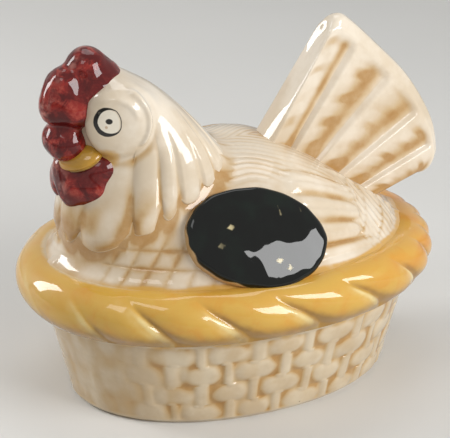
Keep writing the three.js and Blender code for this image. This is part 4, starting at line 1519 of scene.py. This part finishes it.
    def body_grid(self) -> Grid:
        """The body as a shell: from the outer pole down to the seat, inwards, and up inside.

        The foot spreads by an exponential of its height over the rope's crest, so that the rope
        runs up into the hen.
        """
        form = self.form
        rows = latitudes((89.0, 12.0, 104), (11.4, 2.0, 18), (1.7, -14.0, 58))
        outer = star(lambda p: np.maximum(form.body(p), SEAT_Z - p[..., 2]), self.middle,
                     (31.0, 22.0, 24.0), rows, self.columns, 60.0)
        feathers = [kind(outer) for kind in (self.back_lines, self.wing, self.ruffle, self.breast_cells)]
        height, wash = (sum(values) for values in zip(*feathers))
        degrees, station = self.neck_place(outer)
        gap = self.hackle.edge_at(station, degrees) - station
        on_neck = drop(np.abs(form.breast(outer)), 0.6, 3.0)
        covered = on_neck * climb(-gap, -0.01, 0.02)
        # Painted shade: a shadow just below the tips of the neck feathers, and shade in the crease between
        # neck and back.
        valley = bump(form.mound(outer) - form.breast(outer), 0.0, 2.6) * climb(outer[..., 0], -22.0, -10.0)
        wash = wash + 0.9 * on_neck * bump(gap, 0.01, 0.04) + 0.3 * valley
        low = climb(outer[..., 2], SEAT_Z + 0.2, SEAT_Z + 2.0)
        outer = pushed(outer, height * low * (1.0 - covered))
        over = np.maximum(outer[..., 2] - CREST_Z, 0.0)
        sideways = outer[..., :2] / [form.half_length**2, form.half_width**2]
        sideways /= np.linalg.norm(sideways, axis=-1, keepdims=True) + 1e-9
        outer[..., :2] += sideways * (self.foot_spread * low * np.exp(-over / self.foot_fade))[..., None]
        # Painted shade where the tail rises from the back.
        tail_foot_shade = bump(outer[..., 1], 0.0, 4.6) * climb(outer[..., 0], 2.0, 8.0)
        ground = climb(uneven(outer, 9.0, 41), -0.7, 0.6)
        rim = drop(outer[..., 2] + 0.25 * uneven(outer, 7.0, 47), 29.35, 30.3)
        wash = (wash + 0.5 * tail_foot_shade) * (0.7 + 0.4 * ground) + 0.16 * ground + 0.3 * rim
        yellow = rim * (1.0 - 0.55 * climb(-outer[..., 0], 22.0, 33.0))
        inner = star(lambda p: form.body(p) + self.wall, self.middle, (28.0, 19.0, 21.0),
                     latitudes((-8.0, 86.0, 26)), self.columns, 60.0)
        bottom = outer[-1, :, 2].min()
        inner[..., 2] = np.maximum(inner[..., 2], bottom)
        inner[0, :, 2] = bottom
        bare = np.zeros(inner.shape[:2])
        layers = {key: np.concatenate([unit(v), bare]) for key, v in (("wash", wash), ("yellow", yellow))}
        return Grid(np.concatenate([outer, inner]), layers)

    def cape_grid(self) -> Grid:
        """The cape and head: from inside the wall out over the feathers' edge and up to the crown.

        The edge is rounded by a quarter circle below the first row of the cape.
        """
        across, line, start, rim = (c[None, :] for c in self.hackle.columns())
        first = start + 0.011
        rows = np.concatenate([np.linspace(0.0, 0.42, 80), np.linspace(0.425, 0.985, 112)])[:, None]
        station = first + (0.992 - first) * rows
        rise = self.hackle.rise(across, station, rim)
        points = self.ring(station, line, rise, True)
        crest, hollow = self.cheek.ridge(points)
        front = climb(np.abs(line), 70.0, 115.0)
        tip = drop(station - start, 0.0, 0.075)
        slow = 0.08 * uneven(points, 9.0, 61) - 0.05 - tip * (0.3 + 0.2 * front)
        points = pushed(points, crest - 0.3 * hollow + slow)
        lip = np.linspace(0.5 * math.pi, 0.0, 6)[:, None]
        edge_rise = rise[:1] + slow[:1] - 0.5 * (1.0 - np.cos(lip))
        edge = self.ring(start + 0.011 * (1.0 - np.sin(lip)), line, edge_rise, False)
        sunk = np.array([[-1.6], [-1.6], [-1.4]])
        under = self.ring(start + np.array([[0.06], [0.02], [0.0]]), line, sunk, False)
        inside = self.ring(np.linspace(0.93, 0.45, 8)[:, None], line, -1.6, False)
        outside = self.cheek.distance(points)
        # Painted shade under the cheek's lower edge.
        shade_below_cheek = bump(outside, 0.9, 0.8) * climb(56.0 - points[..., 2], 0.0, 3.0)
        patch = climb(uneven(points, 8.0, 67), -0.8, 0.5)
        wash = self.hackle.crease(across, station) * (0.25 + 0.5 * patch) * (0.6 + 0.4 * front)
        # The hollow behind the cheek's crescent gets painted shade too.
        wash = wash + 0.45 * hollow + 0.6 * shade_below_cheek
        # The lower feathers, most at the front, get a tan wash that also stands for painted shade.
        wash = wash + drop(station, 0.2, 0.5) * (0.3 + 0.7 * patch) * (0.14 + 0.98 * front) + 0.3 * tip
        wash = wash * climb(outside, -0.2, 0.6)
        from_beak = np.linalg.norm((points - self.beak_corner) * [1.0, 0.0, 1.0], axis=-1)
        everything = np.concatenate([inside, under, edge[:-1], points])
        layers = {"wash": np.full(everything.shape[:2], 0.6), "yellow": np.zeros(everything.shape[:2])}
        layers["wash"][-len(points):] = unit(wash)
        layers["yellow"][-len(points):] = 0.9 * drop(from_beak, 1.0, 3.4)
        return Grid(everything, layers)

    def ring(self, station: Array, line: Array, rise: Array, swell: bool) -> Array:
        """Points of the neck, each on its section's ellipse grown by rise.

        Args:
            station: stations on the neck.
            line: lines in degrees from the nape.
            rise: height over the plain neck.
            swell: whether a ray from the section's middle runs on to where it leaves a cheek.

        Returns:
            The points.
        """
        station, line, rise = np.broadcast_arrays(station, line, rise)
        middle, way, half, width = self.form.section(station)
        angle = np.radians(self.hackle.angle(line, station))
        cos, sin = np.cos(angle), np.sin(angle)
        width = width * self.form.narrowing(station, cos)
        offset = way * (cos * (half + rise))[..., None]
        offset = offset + stack(0.0 * half, sin * (width + rise), 0.0 * half)
        plain = np.linalg.norm(offset, axis=-1)
        if not swell:
            return middle + offset
        ray = offset / plain[..., None]

        def outside(p: Array) -> Array:
            """Negative inside the raised neck or a cheek."""
            soft = 1.1 + 3.4 * climb(p[..., 2], 57.5, 63.0)
            return smooth_min(np.linalg.norm(p - middle, axis=-1) - plain, self.cheek.distance(p), soft)

        reached = np.where(station > 0.45, cast(outside, middle, ray, 26.0), plain)
        return middle + ray * reached[..., None]

    def pour_holes(self) -> list[Thing]:
        """Three drills square to the nape, a spacing apart on its middle line.

        Returns:
            The drills, each a short cylinder through the wall.
        """
        at = self.hole_station
        nape, ahead = (np.array([self.form.read(c, s) for c in self.form.nape.T]) for s in (at, at + 0.1))
        way = (ahead - nape) / np.linalg.norm(ahead - nape)
        depth = np.array([[-5.0], [4.0]])
        side, across = self.hole_radius * np.cos(angles(24)), self.hole_radius * np.sin(angles(24))
        drills = []
        for i in (-1, 0, 1):
            x, z = nape + way * i * self.hole_spacing
            points = stack(x + way[0] * side + way[1] * depth, across, z + way[1] * side - way[0] * depth)
            drills.append(mesh_of("drill", Grid(points), (), 40.0))
        return drills

    def build(self) -> None:
        """Builds, drills and dresses the three pieces of the hen."""
        body = self.body_label.mesh(self.body_grid())
        cape = self.cape_label.mesh(self.cape_grid())
        tail = self.tail_label.mesh(self.tail.grid())
        for drill in self.pour_holes():
            for piece in (body, cape):
                cut(piece, drill)
            bpy.data.objects.remove(drill)
        plain = self.glaze.dress(self.body_label.finish)
        self.body_label.seat(body, plain)
        self.cape_label.seat(cape, self.face.dress(self.cape_label.finish))
        self.tail_label.seat(tail, plain)


@dataclass
class Lobes(Piece):
    """Rounded lobes run together, in shares of the head's radius about the head's middle."""

    lobes: Table = ()
    blend: float = 1.2
    head: Row = (-26.8, 0.0, 59.0)
    head_radius: float = 10.0
    start: Row = (0.0, 0.0, 0.0)
    spacing: Row = (1.0, 1.0, 1.0)
    rows: int = 100
    columns: int = 100
    knob: float = 0.16
    glaze: RedGlaze = field(default_factory=RedGlaze)

    def distance(self, p: Array) -> Array:
        """Distance from the lobes: ellipsoids, each pair joined by a smooth minimum.

        Args:
            p: the places.

        Returns:
            The distances, negative inside.
        """
        total = None
        for row in self.lobes:
            size = np.array(row[3:]) * self.head_radius
            q = (p - (np.array(self.head) + np.array(row[:3]) * self.head_radius)) / size
            rho = np.linalg.norm(q, axis=-1)
            slope = np.linalg.norm(q / size, axis=-1) + 1e-6
            one = np.clip((rho - 1.0) * rho / slope, -20.0, 60.0)
            total = one if total is None else smooth_min(total, one, self.blend)
        return total

    def globe(self) -> Array:
        """Points of a globe cast from inside the lobes."""
        rows = latitudes((88.0, -88.0, self.rows))
        return star(self.distance, self.start, self.spacing, rows, self.columns, 30.0)


@dataclass
class Comb(Lobes):
    """The lobed comb from the crown down to the beak."""

    lobes: Table = (
        (-0.13, 0, 0.79, 0.42, 0.44, 0.41), (-0.56, 0, 0.46, 0.42, 0.44, 0.44),
        (-0.67, 0, 0.16, 0.42, 0.42, 0.42), (0.02, 0.34, 0.42, 0.44, 0.3, 0.4),
        (0.02, -0.34, 0.42, 0.44, 0.3, 0.4), (0.16, 0, 0.53, 0.38, 0.44, 0.42),
        (-0.42, 0.22, 0.14, 0.42, 0.36, 0.4), (-0.42, -0.22, 0.14, 0.42, 0.36, 0.4),
        (-0.6, 0, -0.54, 0.42, 0.52, 0.42),
    )
    blend: float = 1.3
    start: Row = (-31.0, 0.0, 61.2)
    spacing: Row = (6.0, 5.0, 9.0)
    rows: int = 170
    columns: int = 200
    label = Label("lobed_comb", "comb", Slot.RED, "comb_red", ("wash", "thin"))

    def grid(self) -> Grid:
        """The globe, slightly uneven as if pressed by hand."""
        points = self.globe()
        knobs = uneven(points, 6.4, 71)
        points = pushed(points, self.knob * (knobs - 1.0) + 0.04 * uneven(points, 2.2, 73))
        return Grid(points, {"wash": climb(-knobs, 0.0, 1.0), "thin": climb(knobs, 0.2, 0.9)})


@dataclass
class Wattles(Lobes):
    """The pair of wattles under the beak, grown together at the front."""

    lobes: Table = (
        (-0.46, 0, -1.2, 0.4, 0.42, 0.6), (-0.42, 0.24, -1.4, 0.42, 0.38, 0.5),
        (-0.42, -0.24, -1.4, 0.42, 0.38, 0.5), (-0.18, 0.46, -1.33, 0.42, 0.36, 0.5),
        (-0.18, -0.46, -1.33, 0.42, 0.36, 0.5), (-0.04, 0.52, -1, 0.38, 0.3, 0.32),
        (-0.04, -0.52, -1, 0.38, 0.3, 0.32),
    )
    blend: float = 1.1
    start: Row = (-31.0, 0.0, 46.6)
    spacing: Row = (5.0, 7.0, 6.0)
    rows: int = 110
    columns: int = 180
    crease: float = 0.6
    label = Label("joined_wattles", "wattles", Slot.RED, "wattle_red", ("wash", "thin"))

    def grid(self) -> Grid:
        """The globe, creased down its front, with painted shade under the beak and a painted highlight down
        its front.
        """
        points = self.globe()
        knobs = uneven(points, 5.5, 81)
        crease = bump(points[..., 1], 0.0, 0.9) * climb(46.0 - points[..., 2], 0.0, 3.0)
        points = pushed(points, self.knob * (knobs - 1.0) - self.crease * crease)
        # Painted shade under the beak.
        shade = climb(points[..., 2], 46.8, 48.8)
        hollow = unit(climb(-knobs, 0.0, 1.0) + 0.7 * crease + 0.9 * shade)
        # The thin layer here is a painted pink highlight in a band down the front.
        return Grid(points, {"wash": hollow, "thin": bump(points[..., 0], -36.0, 1.6)})


@dataclass
class Beak(Piece):
    """The short beak, a flattened ball that tips down towards the front, flatter below."""

    middle: Row = (-29.8, 0.0, 51.0)
    radii: Row = (5.3, 7.1, 2.9)
    under: float = 0.62
    tilt: float = math.radians(-28.0)
    # A darker copy of the rope's yellow glaze: painted shade, as the beak lies under the comb.
    glaze: YellowGlaze = field(
        default_factory=lambda: YellowGlaze(yellow=(180, 134, 40), pale=(198, 160, 74), brown=(92, 68, 26)))
    label = Label("short_beak", "beak", Slot.BEAK, "beak_yellow_shaded", ("wash", "thin", "warm", "bare"))

    def grid(self) -> Grid:
        """Turns a ball's points by the tilt about Y and lays a soft line along the mouth; the lower half is
        painted darker as shade, the upper half paler as a highlight.
        """
        rows, turn = latitudes((86.0, -86.0, 60))[:, None], angles(120)
        flat = np.cos(rows) * (1.0 - 0.04 * bump(rows, -0.1, 0.12))
        x, y = flat * np.cos(turn) * self.radii[0], flat * np.sin(turn) * self.radii[1]
        z = np.sin(rows) * self.radii[2] * np.where(rows < 0.0, self.under, 1.0)
        cos, sin = math.cos(self.tilt), math.sin(self.tilt)
        points = stack(x * cos + z * sin, y, -x * sin + z * cos) + np.array(self.middle)
        # Painted shade over the lower half and a painted highlight over the upper half.
        return Grid(points, {"wash": climb(-rows, -0.15, 0.35), "thin": climb(rows, 0.1, 0.9) * 0.5})


@dataclass
class Oval(Piece):
    """The raised black oval: a domed disc that leans on the left flank."""

    along: float = -0.103
    up: float = 0.425
    half_length: float = 13.76
    half_height: float = 9.73
    dome: float = 1.5
    spread: float = 1.25
    lean: float = math.radians(36.0)
    turn: float = math.radians(-4.0)
    roll: float = math.radians(14.0)
    depth: float = 6.5
    columns: int = 220
    form: HenForm = field(default_factory=HenForm)
    glaze: BlackGlaze = field(default_factory=BlackGlaze)
    label = Label("black_oval", "label_panel", Slot.BLACK, "oval_black", ("thin", "bare", "inner"))

    def grid(self) -> Grid:
        """The disc's rings from the middle of its face to the edge, then down its wall.

        The face is a ball's cap, flat enough to reach past the edge by the spread, and its edge is
        rounded by a quarter circle.
        """
        turn = angles(self.columns)
        edge = 0.9 + 0.1 * np.sin(np.linspace(0.15, 0.5 * math.pi, 12))
        share = np.concatenate([np.linspace(0.03, 0.9, 30), edge])
        flat = math.sqrt(1.0 - 1.0 / self.spread**2)
        face = self.dome * (np.sqrt(1.0 - (share / self.spread) ** 2) - flat) / (1.0 - flat)
        face = face - 0.75 * (1.0 - np.sqrt(1.0 - unit((share - 0.93) / 0.07) ** 2))
        out = np.concatenate([face, -np.array([1.2, 2.2, 4.0, self.depth])])[:, None]
        share = np.concatenate([share, np.ones(4)])[:, None]
        wobble = 0.984 + 0.007 * np.sin(5 * turn + 1.0) + 0.005 * np.sin(9 * turn) + 0.003 * np.sin(17 * turn)
        u = self.half_length * share * np.cos(turn) * wobble
        v = self.half_height * share * np.sin(turn) * wobble
        plan = stack(u, v, 0.0)
        out = out + (0.06 * uneven(plan, 9.0, 95) + 0.075 * uneven(plan, 4.4, 97)) * (out > -0.5)
        x = np.array(self.along * self.form.half_length)
        y = -self.form.half_span(x) * math.sqrt(1.0 - self.up**2)
        z = CREST_Z + self.up * self.form.back_height(x)
        pose = Matrix.Rotation(self.turn, 3, "Z") @ Matrix.Rotation(-self.lean, 3, "X")
        pose = np.array(pose @ Matrix.Rotation(self.roll, 3, "Y"))
        points = stack(u, -out, v) @ pose.T + [float(x), float(y), float(z)]
        bare = climb(-out + 0.3 * np.sin(7 * turn + 2.0) + 0.2 * np.sin(16 * turn), 0.6, 0.9)
        return Grid(points, {"thin": climb(share, 0.93, 1.0), "bare": bare, "inner": drop(share, 0.7, 0.9)})


@dataclass
class Stopper(Piece):
    """The cork in the filler hole."""

    foot: float = 0.6
    length: float = 7.6
    chamfer: float = 0.7
    clearance: float = 0.3
    pit: float = 0.035
    columns: int = 150
    basket: Basket = field(default_factory=Basket)
    glaze: CorkBark = field(default_factory=CorkBark)
    label = Label("filler_cork", "cork_stopper", Slot.CORK, "cork_bark", (), 50.0, Body.STOPPER)

    def grid(self) -> Grid:
        """Turns the cork's outline about Z, and sinks small pits where the unevenness is high."""
        low, high, c = self.foot, self.foot + self.length, self.chamfer
        z = np.array([low, low, low, low + 0.3 * c, low + c, *np.linspace(low + 1.3, high - 1.3, 26),
                      high - c, high - 0.3 * c, high, high, high])
        side = self.basket.hole_radius(z) - self.clearance
        ends = np.array([-side[0] * 0.9, -side[0] * 0.45, -c, -0.3 * c, 0.0])
        radius = (side + np.concatenate([ends, np.zeros(26), ends[::-1]]))[:, None]
        turn = angles(self.columns)
        points = stack(radius * np.cos(turn), radius * np.sin(turn), z[:, None])
        points[..., :2] *= (1.0 - self.pit * climb(uneven(points, 2.4, 91), 0.55, 1.2))[..., None]
        return Grid(points)


@dataclass
class Studio:
    """Pale floor, soft lights and the camera at the photograph's angle."""

    target: Row = (MIDDLE_X, 0.0, 30.0)
    distance: float = 420.0
    azimuth: float = -25.0
    elevation: float = 24.0
    lens: float = 173.04
    sensor: float = 36.0
    shift: Row = (-1.6 / 450.0, 7.2 / 450.0)
    ambient: float = 0.32
    background: float = 0.85
    floor_reach: float = 1.6  # metres
    lamp_target: Row = (0.0, 0.0, 30.0)
    lamps: Sequence[tuple[str, Row, Row, float]] = (
        # name, place, width and height, power in watts
        ("key", (222.0, -370.0, 245.0), (310.0, 190.0), 1.95),
        ("fill", (-260.0, -160.0, 440.0), (200.0, 160.0), 0.32),
        ("rim", (-290.0, 260.0, 210.0), (110.0, 280.0), 1.0),
        ("top", (80.0, 150.0, 460.0), (300.0, 160.0), 0.36),
    )

    def camera(self) -> None:
        """Places the camera and aims it at the target."""
        a, e = math.radians(self.azimuth), math.radians(self.elevation)
        way = Vector((math.sin(a) * math.cos(e), -math.cos(a) * math.cos(e), math.sin(e)))
        data = bpy.data.cameras.new("camera")
        data.lens, data.sensor_width = self.lens, self.sensor
        data.shift_x, data.shift_y = self.shift
        seen = into_scene("camera", data)
        seen.location = (Vector(self.target) + way * self.distance) * MM
        seen.rotation_euler = (-way).to_track_quat("-Z", "Y").to_euler()
        bpy.context.scene.camera = seen

    def softbox(self, name: str, place: Row, size: Row, power: float) -> None:
        """Hangs a rectangular soft light that faces the shaker.

        Args:
            name: the lamp's name.
            place: its middle.
            size: its width and height.
            power: its power in watts.
        """
        data = bpy.data.lights.new(name, "AREA")
        data.shape, data.size, data.size_y = "RECTANGLE", size[0] * MM, size[1] * MM
        data.energy = power
        lamp = into_scene(name, data)
        lamp.location = Vector(place) * MM
        lamp.rotation_euler = (Vector(self.lamp_target) - Vector(place)).to_track_quat("-Z", "Y").to_euler()

    def floor(self) -> None:
        """Lays the floor under the shaker."""
        mesh = bpy.data.meshes.new("floor")
        reach = self.floor_reach
        corners = [(-reach, -reach, 0), (reach, -reach, 0), (reach, reach, 0), (-reach, reach, 0)]
        mesh.from_pydata(corners, [], [(0, 1, 2, 3)])
        painter = Painter("pale_floor")
        painter.ground(painter.noise(60.0, 2.0), (214, 213, 210), (220, 219, 216))
        mesh.materials.append(painter.finish(0.8, Specular_IOR_Level=0.2))
        into_scene("floor", mesh)

    def world(self) -> None:
        """A pale world: soft fill for the object, and the background that the camera sees."""
        world = bpy.data.worlds.new("pale")
        world.use_nodes = True
        tree = world.node_tree
        back = tree.nodes["Background"]
        back.inputs["Color"].default_value = linear((226, 226, 224))
        path = add_node(tree, "ShaderNodeLightPath", {}, {})
        rays = ("Is Camera Ray", "Is Glossy Ray", "Is Transmission Ray")
        camera, glossy, through = (Term(tree, path.outputs[ray]) for ray in rays)
        seen = (camera + glossy + through).math("MINIMUM", 1.0)
        strength = seen * (self.background - self.ambient) + self.ambient
        tree.links.new(strength.socket, back.inputs["Strength"])
        bpy.context.scene.world = world

    def build(self) -> None:
        """Sets up the whole studio."""
        self.camera()
        self.floor()
        self.world()
        for lamp in self.lamps:
            self.softbox(*lamp)


def main() -> None:
    """Builds the studio and every piece."""
    logging.basicConfig(level=logging.INFO, format="%(message)s")
    bpy.context.scene.view_settings.view_transform = "Standard"
    for part in (Studio, Basket, Rope, Hen, Comb, Wattles, Beak, Oval, Stopper):
        part().build()


if __name__ == "__main__":
    main()
